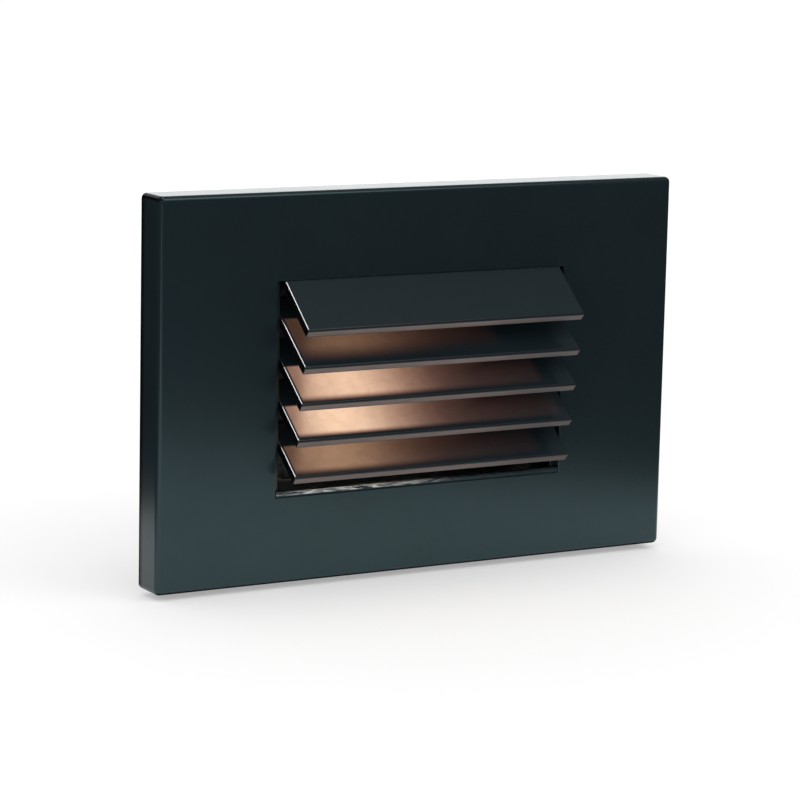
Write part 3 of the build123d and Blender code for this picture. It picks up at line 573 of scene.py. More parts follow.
@dataclass(frozen=True)
class ReflectionStreakPaint(GlossPaint):
    """The same paint with a painted reflection of the lit pane in long pale streaks, less and less to the right."""

    # Colour of the painted reflection of the lit pane.
    painted_gleam: Colour = (0.92, 0.92, 0.90)
    streak: float = 0.00042
    streak_stretch: Triple = (0.13, 1.0, 1.0)
    swirl: float = 0.6
    gleam_threshold: Ramp = Ramp(0.38, 0.60)
    fading: Ramp = Ramp(-0.012, 0.012, 1.0, 0.02, True)
    gleam_left_fade: Ramp = Ramp(-0.0345, -0.027, 0.3, 1.0, True)
    forward: Ramp = Ramp(-0.45, -0.25, 1.0, 0.0)
    gleam_low_edge: Ramp = Ramp(-0.02295, -0.02285)

    def colour(self, graph: Graph, spread: Socket) -> Socket:
        """Paint with the streaks of painted reflection in it.

        Args:
            graph: The tree to add to.
            spread: The patches' number.

        Returns:
            The colour.
        """
        place = graph.axes(graph.point)
        painted_gleam = graph.times(
            graph.ramp(graph.noise(self.streak, 3.0, self.streak_stretch, self.swirl), self.gleam_threshold),
            graph.ramp(place["X"], self.fading),
            graph.ramp(graph.facing()["Y"], self.forward),
            graph.ramp(place["Z"], self.gleam_low_edge),
            graph.ramp(place["X"], self.gleam_left_fade),
        )
        return graph.blend(painted_gleam, super().colour(graph, spread), self.painted_gleam)


@dataclass(frozen=True)
class PlatedSteel(Finish):
    """Plated steel with fine drawing lines and faint stains."""

    metal: float = 1.0
    lines: Triple = (1.0, 1.0, 14.0)
    line_depth: float = 0.000002

    def surface(self, graph: Graph) -> Socket:
        """Fine grain over the drawing lines."""
        return self.fine(graph, graph.relief(graph.noise(self.grain, 3.0, self.lines), self.line_depth))


@dataclass(frozen=True)
class CastMetal(Finish):
    """Die-cast metal: matt, softly uneven and pitted."""

    metal: float = 1.0
    pit: float = 0.0011
    pit_depth: float = 0.00003
    pit_slope: Ramp = Ramp(0.0, 0.45, soft=True)

    def surface(self, graph: Graph) -> Socket:
        """Grain over shallow pits."""
        pits = graph.ramp(graph.cells(self.pit), self.pit_slope)
        return self.fine(graph, graph.relief(pits, self.pit_depth), detail=3.0)


@dataclass(frozen=True)
class Foam(Finish):
    """Open foam, all small cells."""

    cell: float = 0.0007
    cell_depth: float = 0.00022

    def surface(self, graph: Graph) -> Socket:
        """Round cells of two sizes."""
        wide = graph.relief(graph.cells(self.cell), self.cell_depth)
        return graph.relief(graph.cells(self.cell / 2), self.cell_depth / 3, wide)


@dataclass(frozen=True)
class Pane(Finish):
    """Frosted pane with the lamp's warm light in it."""

    glow_high: Colour = (1.0, 0.70, 0.42)
    glow_low: Colour = (0.006, 0.003, 0.002)
    glow_middle: Triple = (-0.008, 0.0, 0.0)
    glow_reach: Ramp = Ramp(0.0, 0.028, 1.0, 0.0, True)
    strength: float = 1.6
    clear: float = 0.35

    def extra(self, graph: Graph) -> None:
        """Light the pane, most of all in front of the chips.

        Args:
            graph: The tree to add to.
        """
        middle = graph.add("ShaderNodeVectorMath", operation="DISTANCE")
        graph.fill(middle, graph.point, self.glow_middle)
        near_middle = graph.ramp(middle.outputs["Value"], self.glow_reach)
        graph.set("Emission Color", graph.blend(near_middle, self.glow_low, self.glow_high))
        graph.set("Emission Strength", self.strength)
        graph.set("Transmission Weight", self.clear)


@dataclass(frozen=True)
class Lamp(Finish):
    """Phosphor over a lit chip: a pale package with a glowing middle."""

    glow: Colour = (1.0, 0.74, 0.46)
    strength: float = 4.0

    def extra(self, graph: Graph) -> None:
        """Let the phosphor glow."""
        graph.set("Emission Color", graph.blend(graph.noise(self.patch), self.glow, self.light))
        graph.set("Emission Strength", self.strength)


@dataclass(frozen=True)
class Board(Finish):
    """Circuit board: lacquer over copper tracks, with a faint glass weave."""

    track: Colour = (0.02, 0.16, 0.05)
    track_size: float = 0.0032
    track_share: float = 0.7
    gap: float = 0.06
    gap_softness: float = 0.05
    row_offset: float = 0.37
    weave: float = 0.0004
    waver: float = 0.4

    def colour(self, graph: Graph, spread: Socket) -> Socket:
        """Lacquer, with the tracks under it showing lighter.

        Args:
            graph: The tree to add to.
            spread: The patches' number.

        Returns:
            The colour.
        """
        gaps = {"Mortar Size": self.gap, "Mortar Smooth": self.gap_softness}
        block = graph.pattern("ShaderNodeTexBrick", self.track_size, gaps, turn=(UPRIGHT, 0.0, 0.0))
        block.offset = self.row_offset
        share = graph.times(block.outputs["Fac"], self.track_share)
        return graph.blend(share, super().colour(graph, spread), self.track)

    def surface(self, graph: Graph) -> Socket:
        """The weave of the glass cloth under the lacquer."""
        return graph.relief(graph.bands("DIAGONAL", self.weave, self.waver), self.grain_depth)


@dataclass(frozen=True)
class Wrapped(Finish):
    """Tape or a shrunk sleeve: faint rings where it laps or creases."""

    ring: float = 0.0012
    ring_depth: float = 0.00002
    waver: float = 0.6

    def surface(self, graph: Graph) -> Socket:
        """Rings across the winding's axis under a fine grain."""
        return self.fine(graph, graph.relief(graph.bands("Y", self.ring, self.waver), self.ring_depth))


PAINT: dict[str, object] = {
    "dark": (0.0105, 0.0178, 0.0222),
    "light": (0.0122, 0.0202, 0.0250),
    "patch": 0.012,
    "smooth": 0.24,
    "rough": 0.27,
    "grain": 0.0003,
    "grain_depth": 0.0000004,
    "ior": 1.6,
}
COVER_PAINT = CoverPaint("cover_paint", **PAINT)
HOOD_PAINT = EdgedPaint("hood_paint", **PAINT)
SILL_PAINT = ReflectionStreakPaint("sill_paint", **PAINT)
# Painted lamp light on blades 2 to 5, one glow each.
BLADE_GLOWS = (
    Glow(-18.4, 0.142, 0.027, -23.0, 15.0, 1.0, 7.0, 14.6, blue=0.385),
    Glow(-17.2, 0.775, 0.070, -22.0, 26.0, 0.6, 2.8, 11.4, green=0.66, blue=0.445),
    Glow(-16.0, 0.86, 0.085, -22.0, 32.0, 0.9, 2.6, 10.4),
    Glow(-14.8, 0.29, 0.044, -23.0, 27.5, 0.4, 2.8, 9.3, green=0.66, blue=0.39),
)
BLADE_PAINTS = {
    number: LitPaint(f"blade_paint_{number}", glow=glow, **PAINT) for number, glow in enumerate(BLADE_GLOWS, start=2)
}
# Each finish: its name, its dark and its light colour, the size of its patches, and its least and greatest roughness.
ZINC = PlatedSteel("bracket_zinc", (0.46, 0.47, 0.49), (0.66, 0.66, 0.64), 0.006, 0.30, 0.42)
SCREW_STEEL = PlatedSteel("screw_steel", (0.50, 0.50, 0.50), (0.70, 0.69, 0.66), 0.002, 0.22, 0.34)
SPRING_STEEL = PlatedSteel(
    "spring_steel", (0.50, 0.50, 0.51), (0.64, 0.64, 0.63), 0.004, 0.26, 0.36, lines=(14.0, 1.0, 1.0)
)
BLACK_OXIDE = PlatedSteel("black_oxide", (0.018, 0.018, 0.020), (0.045, 0.043, 0.042), 0.001, 0.34, 0.48)
GROUND_GREEN = GlossPaint(
    "ground_green", (0.012, 0.15, 0.035), (0.02, 0.21, 0.05), 0.002, 0.3, 0.42, tint=(1, 1, 1)
)
CAST_ALUMINIUM = CastMetal("housing_cast", (0.49, 0.50, 0.515), (0.57, 0.573, 0.58), 0.006, 0.46, 0.62)
FOAM_BLACK = Foam("foam_black", (0.010, 0.010, 0.011), (0.026, 0.026, 0.027), 0.001, 0.85, 0.98)
SILICONE = Finish("seal_silicone", (0.42, 0.43, 0.43), (0.55, 0.55, 0.54), 0.003, 0.45, 0.6, ior=1.41)
RUBBER = Finish("bush_rubber", (0.012, 0.012, 0.013), (0.024, 0.024, 0.025), 0.002, 0.6, 0.75)
PANE = Pane(
    "frosted_pane", (0.80, 0.78, 0.74), (0.88, 0.86, 0.82), 0.004, 0.42, 0.55, grain=0.0002, grain_depth=0.00001
)
REFLECTOR_WHITE = Finish("reflector_white", (0.78, 0.78, 0.76), (0.86, 0.86, 0.84), 0.005, 0.25, 0.4)
BOARD_WHITE = Board(
    "lamp_board_white", (0.74, 0.75, 0.73), (0.80, 0.80, 0.78), 0.004, 0.35, 0.45, track=(0.62, 0.64, 0.62)
)
PHOSPHOR = Lamp("chip_phosphor", (0.72, 0.50, 0.12), (0.95, 0.80, 0.40), 0.0008, 0.3, 0.45)
PAD_GREY = Finish("thermal_pad_grey", (0.20, 0.22, 0.25), (0.27, 0.29, 0.32), 0.003, 0.7, 0.85, grain=0.0006)
LEAD_RED = Finish("lead_red", (0.42, 0.012, 0.010), (0.56, 0.022, 0.016), 0.002, 0.35, 0.5)
LEAD_BLACK = Finish("lead_black", (0.012, 0.012, 0.012), (0.024, 0.024, 0.024), 0.002, 0.35, 0.5)
INSULATOR = Finish("insulator_film", (0.62, 0.42, 0.16), (0.70, 0.50, 0.22), 0.008, 0.28, 0.4)
BOARD_GREEN = Board("driver_board_green", (0.010, 0.085, 0.028), (0.016, 0.11, 0.04), 0.004, 0.28, 0.4)
SLEEVE = Wrapped("capacitor_sleeve", (0.010, 0.014, 0.03), (0.018, 0.024, 0.05), 0.004, 0.25, 0.38)
FILM_CASE = Finish("film_capacitor_case", (0.50, 0.30, 0.03), (0.60, 0.38, 0.05), 0.004, 0.35, 0.5)
FERRITE = Finish(
    "ferrite", (0.035, 0.034, 0.034), (0.06, 0.058, 0.056), 0.002, 0.45, 0.62, grain=0.0003, grain_depth=0.00001
)
TAPE = Wrapped("winding_tape", (0.62, 0.46, 0.05), (0.72, 0.56, 0.10), 0.003, 0.3, 0.45)
CHIP_BLACK = Finish(
    "chip_black", (0.014, 0.014, 0.015), (0.028, 0.028, 0.028), 0.001, 0.5, 0.65, grain=0.0001
)
RESISTOR = Finish("resistor_body", (0.10, 0.24, 0.30), (0.16, 0.32, 0.38), 0.002, 0.35, 0.5)


class Wardrobe:
    """Makes each finish once, and puts it on the nodes and pieces that wear it."""

    def __init__(self, nodes: dict[str, bpy.types.Object]) -> None:
        """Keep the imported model's nodes, by name."""
        self.nodes = nodes
        self.made: dict[str, bpy.types.Material] = {}

    def material(self, finish: Finish) -> bpy.types.Material:
        """The finish's material, made at its first use."""
        if finish.name not in self.made:
            self.made[finish.name] = finish.make()
        return self.made[finish.name]

    def dress(self, name: str, finish: Finish) -> None:
        """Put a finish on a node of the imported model.

        Args:
            name: The node's name.
            finish: The finish.
        """
        for slot in self.nodes[name].material_slots:
            slot.material = self.material(finish)
        LOG.info("dressed %s in %s", name, finish.name)


# --- Modelling ---
class Part(Enum):
    """What a selection picks."""

    FACES = "FACE"
    EDGES = "EDGE"


@dataclass(frozen=True)
class Thread:
    """Sizes of a screw's thread in millimetres, its ridge's half height as a share of the pitch, and its steps."""

    root: float
    crest: float
    pitch: float
    length: float
    ridge: float = 0.42
    steps: int = 24


def near(first: float, second: float, reach: float = 0.01) -> bool:
    """Whether two lengths are the same, within a reach in millimetres."""
    return abs(first - second) < reach


class Bench:
    """One new piece, shaped in edit mode with Blender's own operators. Lengths are in millimetres."""

    def __init__(self, name: str) -> None:
        """Clear the bench.

        Args:
            name: The piece's name.
        """
        self.name = name
        self.piece: bpy.types.Object | None = None
        self.clear()

    def clear(self) -> None:
        """Leave edit mode, with nothing picked."""
        if bpy.context.mode == "EDIT_MESH":
            bpy.ops.object.mode_set(mode="OBJECT")
        bpy.ops.object.select_all(action="DESELECT")

    def take(self, size: Triple) -> None:
        """Name the new primitive, give it its size and open it for shaping."""
        self.piece = bpy.context.object
        self.piece.name = self.name
        self.piece.data.name = self.name
        self.piece.scale = size
        self.settle()

    def settle(self) -> None:
        """Bring the piece's place, turn and size into its mesh, and open it for shaping."""
        bpy.ops.object.transform_apply(location=True, rotation=True, scale=True)
        bpy.ops.object.mode_set(mode="EDIT")

    def box(self, low: Triple, high: Triple) -> None:
        """Start from a box.

        Args:
            low: Its lowest corner.
            high: Its highest corner.
        """
        middle = [(a + b) / 2 * MM for a, b in zip(low, high)]
        bpy.ops.mesh.primitive_cube_add(size=1.0, location=middle)
        self.take(tuple((b - a) * MM for a, b in zip(low, high)))

    def rod(self, base: Triple, length: float, radius: float, axis: Triple, sides: int = 32) -> None:
        """Start from a rod.

        Args:
            base: Middle of its first end.
            length: Its length.
            radius: Its radius.
            axis: The direction that it points in.
            sides: How many sides it has.
        """
        along = Vector(axis)
        middle = (Vector(base) + along * length / 2) * MM
        turn = along.to_track_quat("Z", "Y").to_euler()
        bpy.ops.mesh.primitive_cylinder_add(
            vertices=sides, radius=radius * MM, depth=length * MM, location=middle, rotation=turn
        )
        self.take((1.0, 1.0, 1.0))

    def ridge(self, base: Triple, axis: Triple, thread: Thread) -> None:
        """Start from a screw's ridge, wound round its axis.

        Args:
            base: Where the ridge starts, on the axis.
            axis: The direction that the ridge climbs in.
            thread: Its sizes.
        """
        bpy.ops.mesh.primitive_circle_add(
            vertices=4, radius=1.0, location=(thread.root * MM, 0.0, 0.0), rotation=(UPRIGHT, 0.0, 0.0)
        )
        self.take(((thread.crest - thread.root) * MM, thread.pitch * thread.ridge * MM, 1.0))
        self.focus()
        turns, steps = round(thread.length / thread.pitch), thread.steps
        self.modify("SCREW", screw_offset=thread.pitch * MM, iterations=turns, steps=steps, render_steps=steps)
        self.piece.rotation_euler = Vector(axis).to_track_quat("Z", "Y").to_euler()
        self.piece.location = Vector(base) * MM
        self.settle()
        bpy.ops.mesh.select_all(action="SELECT")
        bpy.ops.mesh.fill_holes(sides=4)

    def focus(self) -> None:
        """Leave edit mode, with only this piece picked."""
        self.clear()
        self.piece.select_set(True)
        bpy.context.view_layer.objects.active = self.piece

    def modify(self, kind: str, **settings: object) -> None:
        """Add a modifier and apply it.

        Args:
            kind: Blender's name for the modifier's type.
            **settings: Attributes of the modifier, by name.
        """
        modifier = self.piece.modifiers.new(kind.title(), kind)
        for key, value in settings.items():
            setattr(modifier, key, value)
        bpy.ops.object.modifier_apply(modifier=modifier.name)

    def carve(self, tool: "Bench") -> None:
        """Cut another bench's shape out of this one, which uses it up.

        Args:
            tool: The other bench.
        """
        self.focus()
        self.modify("BOOLEAN", object=tool.piece, operation="DIFFERENCE", solver="EXACT")
        bpy.data.objects.remove(tool.piece)
        bpy.ops.object.mode_set(mode="EDIT")

    def join(self, other: "Bench") -> None:
        """Add another bench's shape to this one.

        Args:
            other: The other bench.
        """
        self.focus()
        other.piece.select_set(True)
        bpy.ops.object.join()
        bpy.ops.object.mode_set(mode="EDIT")

    def pick(self, part: Part, test: Callable[[Vector, Vector], bool]) -> None:
        """Select by place and direction.

        Args:
            part: What to pick.
            test: Says yes or no from a face's middle and normal, or from an edge's two ends, in millimetres.
        """
        bpy.ops.mesh.select_mode(type=part.value)
        bpy.ops.mesh.select_all(action="DESELECT")
        shape = bmesh.from_edit_mesh(self.piece.data)
        if part is Part.FACES:
            picked = [face for face in shape.faces if test(face.calc_center_median() / MM, face.normal)]
        else:
            picked = [edge for edge in shape.edges if test(*(point.co / MM for point in edge.verts))]
        for item in picked:
            item.select_set(True)
        bmesh.update_edit_mesh(self.piece.data)

    def slide(self, x: float, y: float, z: float) -> None:
        """Move what is picked."""
        bpy.ops.transform.translate(value=(x * MM, y * MM, z * MM))

    def extrude(self, x: float, y: float, z: float) -> None:
        """Extrude what is picked."""
        bpy.ops.mesh.extrude_region_move(TRANSFORM_OT_translate={"value": (x * MM, y * MM, z * MM)})

    def inset(self, width: float) -> None:
        """Inset the picked faces."""
        bpy.ops.mesh.inset(thickness=width * MM)

    def bevel(self, width: float, segments: int) -> None:
        """Round the picked edges."""
        bpy.ops.mesh.bevel(offset=width * MM, segments=segments, affect="EDGES", clamp_overlap=True)

    def cut(self, place: Triple, normal: Triple) -> None:
        """Cut new edges all round the piece in a plane."""
        bpy.ops.mesh.select_all(action="SELECT")
        bpy.ops.mesh.bisect(plane_co=[c * MM for c in place], plane_no=normal)

    def finish(
        self, material: bpy.types.Material, body: Body, slot: str, smooth_angle: float = 35.0
    ) -> bpy.types.Object:
        """Close the piece, dress it and let it ride.

        Args:
            material: Its finish.
            body: The body that it moves with.
            slot: Not used.
            smooth_angle: Edges flatter than this, in degrees, are smooth.

        Returns:
            The piece.
        """
        bpy.ops.mesh.select_all(action="SELECT")
        bpy.ops.mesh.normals_make_consistent(inside=False)
        bpy.ops.object.mode_set(mode="OBJECT")
        bpy.ops.object.shade_smooth_by_angle(angle=math.radians(smooth_angle))
        self.modify("WEIGHTED_NORMAL", keep_sharp=True)
        self.piece.data.materials.clear()
        self.piece.data.materials.append(material)
        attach(self.piece, body.value)
        self.piece.select_set(False)
        LOG.info("made %s on %s", self.name, body.value)
        return self.piece


# --- Sub-assemblies ---
@dataclass
class Assembly:
    """A sub-assembly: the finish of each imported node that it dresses, and the pieces that it models anew."""

    wardrobe: Wardrobe
    outfit: ClassVar[dict[str, Finish]] = {}

    def build(self) -> None:
        """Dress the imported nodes, then model the new pieces."""
        for name, finish in self.outfit.items():
            self.wardrobe.dress(name, finish)
        self.model()

    def model(self) -> None:
        """Model the new pieces, where there are any."""


@dataclass
class FaceCover(Assembly):
    """The shallow painted tray with its window."""

    outfit: ClassVar[dict[str, Finish]] = {"cover": COVER_PAINT}


@dataclass
class Louver(Assembly):
    """Hood, blades, cheeks and the clips that hold them to the cover."""

    outfit: ClassVar[dict[str, Finish]] = {
        "louver_cheek_left": HOOD_PAINT,
        "louver_cheek_right": HOOD_PAINT,
        "louver_clips": SPRING_STEEL,
    }
    thickness: float = 2.0
    pitch: float = 8.0
    half_length: float = 34.2
    front_y: float = -19.6
    front_z: float = 14.05
    front_step: float = 1.2
    rear_y: float = -2.6
    bend_y: float = -8.85
    bend_z: float = 23.2
    tab_front_y: float = -6.0
    tab_end_x: float = 35.3
    upper_round: float = 0.60
    lower_round: float = 0.25
    bend_round: float = 0.45
    end_chamfer: float = 0.45
    smooth_angle: float = 20.0

    def model(self) -> None:
        """Model the hood and the blades, each blade with its own share of the painted lamp light."""
        self.hood()
        for number, paint in BLADE_PAINTS.items():
            self.blade(number, paint)

    def line(self, y: float, z: float) -> Callable[[Vector, Vector], bool]:
        """Test for an edge whose ends both lie at one depth and height.

        Args:
            y: Its depth.
            z: Its height.

        Returns:
            The test.
        """
        return lambda a, b: all(near(point.y, y) and near(point.z, z) for point in (a, b))

    def shape_front(self, bench: Bench, front: Vector, slope: float) -> None:
        """Cut a blade's front square to its slope, pull out its tabs and round its edges.

        Args:
            bench: The bench with the blade, whose front is still upright.
            front: The upper front corner, with x left at 0.
            slope: The blade's slope in radians.
        """
        drop = self.thickness / math.cos(slope)
        low = front + Vector((0.0, self.thickness * math.sin(slope), -self.thickness * math.cos(slope)))
        bench.pick(Part.EDGES, self.line(front.y, front.z - drop))
        bench.slide(0.0, low.y - front.y, low.z - front.z + drop)
        bench.cut((0.0, self.tab_front_y, 0.0), (0.0, 1.0, 0.0))
        for side in (-1, 1):
            bench.pick(Part.FACES, lambda c, n: n.x * side > FACING and c.y > self.tab_front_y)
            bench.extrude(side * (self.tab_end_x - self.half_length), 0.0, 0.0)
        bench.pick(Part.EDGES, self.line(low.y, low.z))
        bench.bevel(self.lower_round, segments=3)
        bench.pick(Part.EDGES, self.line(front.y, front.z))
        bench.bevel(self.upper_round, segments=6)
        bench.pick(
            Part.EDGES,
            lambda a, b: near(abs(a.x), self.half_length)
            and near(a.x, b.x)
            and not near(min(a.y, b.y, self.tab_front_y), self.tab_front_y),
        )
        bench.bevel(self.end_chamfer, segments=2)

    def blade(self, number: int, paint: LitPaint) -> None:
        """Model one blade.

        Args:
            number: Its number from the top, the hood being 1.
            paint: Its paint.
        """
        upright = self.thickness / math.cos(BLADE_SLOPE)
        below = number - 1
        front = Vector((0.0, self.front_y + self.front_step * below, self.front_z - self.pitch * below))
        bench = Bench(f"blade_{number}")
        bench.box((-self.half_length, front.y, front.z - upright), (self.half_length, self.rear_y, front.z))
        bench.pick(Part.FACES, lambda c, n: n.y > FACING)
        bench.slide(0.0, 0.0, (self.rear_y - front.y) * math.tan(BLADE_SLOPE))
        self.shape_front(bench, front, BLADE_SLOPE)
        blade = bench.finish(self.wardrobe.material(paint), Body.COVER, "blade_paint", self.smooth_angle)
        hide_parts(f"louver_blade_{number}")

    def hood(self) -> None:
        """Model the hood: level through the window, then bent down in front of the cover."""
        front = Vector((0.0, self.front_y, self.front_z))
        slope = math.atan2(self.bend_z - front.z, self.bend_y - front.y)
        under_z = self.bend_z - self.thickness
        inside = (self.thickness / math.cos(slope) - self.thickness) / math.tan(slope)
        bench = Bench("hood")
        bench.box((-self.half_length, self.bend_y, under_z), (self.half_length, self.rear_y, self.bend_z))
        bench.pick(Part.EDGES, self.line(self.bend_y, under_z))
        bench.slide(0.0, inside, 0.0)
        bench.pick(Part.FACES, lambda c, n: n.y < -0.5)
        bench.extrude(0.0, front.y - self.bend_y, front.z - self.bend_z)
        bench.pick(Part.EDGES, self.line(front.y + inside, front.z - self.thickness))
        bench.slide(0.0, -inside, self.thickness - self.thickness / math.cos(slope))
        self.shape_front(bench, front, slope)
        bench.pick(Part.EDGES, self.line(self.bend_y, self.bend_z))
        bench.bevel(self.bend_round, segments=5)
        hood = bench.finish(self.wardrobe.material(HOOD_PAINT), Body.COVER, "blade_paint", self.smooth_angle)
        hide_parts("hood_blade")


@dataclass
class Sill(Assembly):
    """The bright strip along the lower edge of the window, with a painted reflection of the lit pane in streaks."""

    half_length: float = 35.45
    front_y: float = -8.45
    rear_y: float = -6.7
    low_z: float = -23.6
    high_z: float = -22.1
    edge_round: float = 0.35

    def model(self) -> None:
        """Model the strip."""
        bench = Bench("window_sill")
        bench.box((-self.half_length, self.front_y, self.low_z), (self.half_length, self.rear_y, self.high_z))
        bench.pick(Part.EDGES, lambda a, b: all(near(point.z, self.high_z) for point in (a, b)))
        bench.bevel(self.edge_round, segments=4)
        bench.finish(self.wardrobe.material(SILL_PAINT), Body.COVER, "cover_paint")


@dataclass
class WallMount(Assembly):
    """Bracket, gasket and the screws into the box."""

    outfit: ClassVar[dict[str, Finish]] = {
        "mounting_bracket": ZINC,
        "wall_gasket": FOAM_BLACK,
        "housing_screws": SCREW_STEEL,
        "ground_screw": GROUND_GREEN,
    }
    screw_x: float = -41.65
    head_y: float = -4.9
    head_height: float = 1.7
    head_radius: float = 3.3
    head_sides: int = 48
    head_round: float = 0.85
    shank_length: float = 19.0
    tip_round: float = 0.3
    slot_width: float = 0.8
    slot_depth: float = 0.8
    cross_half: float = 1.9
    thread: Thread = Thread(1.4, 1.75, 0.79, 15.0)

    def model(self) -> None:
        """Model one box screw with its crossed slots and thread, and set the other beside it."""
        into_wall = (0, 1, 0)
        tip_y = self.head_y + self.head_height + self.shank_length
        bench = Bench("threaded_box_screws")
        bench.rod(
            (self.screw_x, self.head_y, 0.0), self.head_height, self.head_radius, into_wall, self.head_sides
        )
        bench.pick(Part.EDGES, lambda a, b: near(a.y, self.head_y) and near(b.y, self.head_y))
        bench.bevel(self.head_round, segments=6)
        bench.pick(Part.FACES, lambda c, n: n.y > FACING)
        bench.inset(self.head_radius - self.thread.root)
        bench.extrude(0.0, self.shank_length, 0.0)
        bench.pick(Part.EDGES, lambda a, b: near(a.y, tip_y) and near(b.y, tip_y))
        bench.bevel(self.tip_round, segments=2)
        for half_x, half_z in ((self.head_radius, self.slot_width / 2), (self.slot_width / 2, self.cross_half)):
            slot = Bench("slot")
            low = (self.screw_x - half_x, self.head_y - OVERSHOOT, -half_z)
            slot.box(low, (self.screw_x + half_x, self.head_y + self.slot_depth, half_z))
            bench.carve(slot)
        ridge = Bench("ridge")
        ridge.ridge((self.screw_x, tip_y - self.thread.length - self.thread.pitch, 0.0), into_wall, self.thread)
        bench.join(ridge)
        bpy.ops.mesh.select_all(action="SELECT")
        bpy.ops.mesh.duplicate_move(TRANSFORM_OT_translate={"value": (-2 * self.screw_x * MM, 0.0, 0.0)})
        screws = bench.finish(self.wardrobe.material(SCREW_STEEL), Body.WALL, "screw_steel")
        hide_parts("box_screws")


@dataclass
class SetScrews(Assembly):
    """The two set screws in the cover's lower edge."""

    side_x: float = 30.0
    middle_y: float = -4.8
    base_z: float = -41.7
    length: float = 4.6
    tip_round: float = 0.4
    socket_half: float = 0.75
    socket_depth: float = 2.0
    thread: Thread = Thread(1.2, 1.45, 0.5, 3.5)

    def model(self) -> None:
        """Model both screws."""
        for side, body in ((-1, Body.LEFT_SCREW), (1, Body.RIGHT_SCREW)):
            self.screw(side, body)

    def screw(self, side: int, body: Body) -> None:
        """Model one screw, threaded and with a hexagon socket.

        Args:
            side: -1 for the left one and 1 for the right one.
            body: The body that it is.
        """
        up = (0, 0, 1)
        x, y, z = side * self.side_x, self.middle_y, self.base_z
        bench = Bench(f"threaded_{body.value}")
        bench.rod((x, y, z), self.length, self.thread.root, up)
        bench.pick(Part.EDGES, lambda a, b: near(min(a.z, b.z), z + self.length))
        bench.bevel(self.tip_round, segments=1)
        socket = Bench("socket")
        socket_radius = self.socket_half / math.cos(math.pi / 6)
        socket.rod((x, y, z - OVERSHOOT), self.socket_depth + OVERSHOOT, socket_radius, up, sides=6)
        bench.carve(socket)
        ridge = Bench("ridge")
        ridge.ridge((x, y, z + self.thread.pitch / 2), up, self.thread)
        bench.join(ridge)
        screw = bench.finish(self.wardrobe.material(BLACK_OXIDE), body, "black_oxide")
        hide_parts("set_screw_left" if side < 0 else "set_screw_right")


@dataclass
class LightMouth(Assembly):
    """The can with its pane, seal and spring frame."""

    outfit: ClassVar[dict[str, Finish]] = {
        "housing": CAST_ALUMINIUM,
        "lens": PANE,
        "lens_gasket": SILICONE,
        "lens_retainer": BLACK_OXIDE,
    }


@dataclass
class LampUnit(Assembly):
    """Lamp board, chips, reflector and leads."""

    outfit: ClassVar[dict[str, Finish]] = {
        "thermal_pad": PAD_GREY,
        "led_board": BOARD_WHITE,
        "led_chips": PHOSPHOR,
        "led_board_screws": SCREW_STEEL,
        "reflector": REFLECTOR_WHITE,
        "led_lead_positive": LEAD_RED,
        "led_lead_negative": LEAD_BLACK,
        "deck_grommet": RUBBER,
    }


@dataclass
class Driver(Assembly):
    """Driver board and its components."""

    outfit: ClassVar[dict[str, Finish]] = {
        "insulator_sheet": INSULATOR,
        "driver_board": BOARD_GREEN,
        "driver_board_screws": SCREW_STEEL,
        "electrolytic_capacitor": SLEEVE,
        "film_capacitor": FILM_CASE,
        "transformer_core": FERRITE,
        "transformer_winding": TAPE,
        "bridge_rectifier": CHIP_BLACK,
        "control_chip": CHIP_BLACK,
        "fusible_resistor": RESISTOR,
    }


@dataclass
class BackClosure(Assembly):
    """Seal, rear cover, screws and supply bush."""

    outfit: ClassVar[dict[str, Finish]] = {
        "rear_gasket": SILICONE,
        "rear_cover": ZINC,
        "rear_cover_screws": SCREW_STEEL,
        "supply_grommet": RUBBER,
    }


# --- Studio ---
class SoftBox(Enum):
    """Soft lamps: name, place, size and the level of its face, where 1 is white."""

    KEY = ("soft_key", (0.50, -0.72, 0.80), 0.55, 0.8)
    BACK = ("soft_back", (0.62, 1.05, 0.36), 0.60, 0.9)


class Card(Enum):
    """Dark cards that only reflections see: name, middle on the floor, length, turn and height.

    They stand for the dark room round a small white table.
    """

    FRONT = ("dark_card_front", (0.0605, -0.1075), 1.5, math.radians(45.2), 0.17)
    REAR = ("dark_card_rear", (-0.106, 0.0685), 1.5, math.radians(62.0), 0.13)


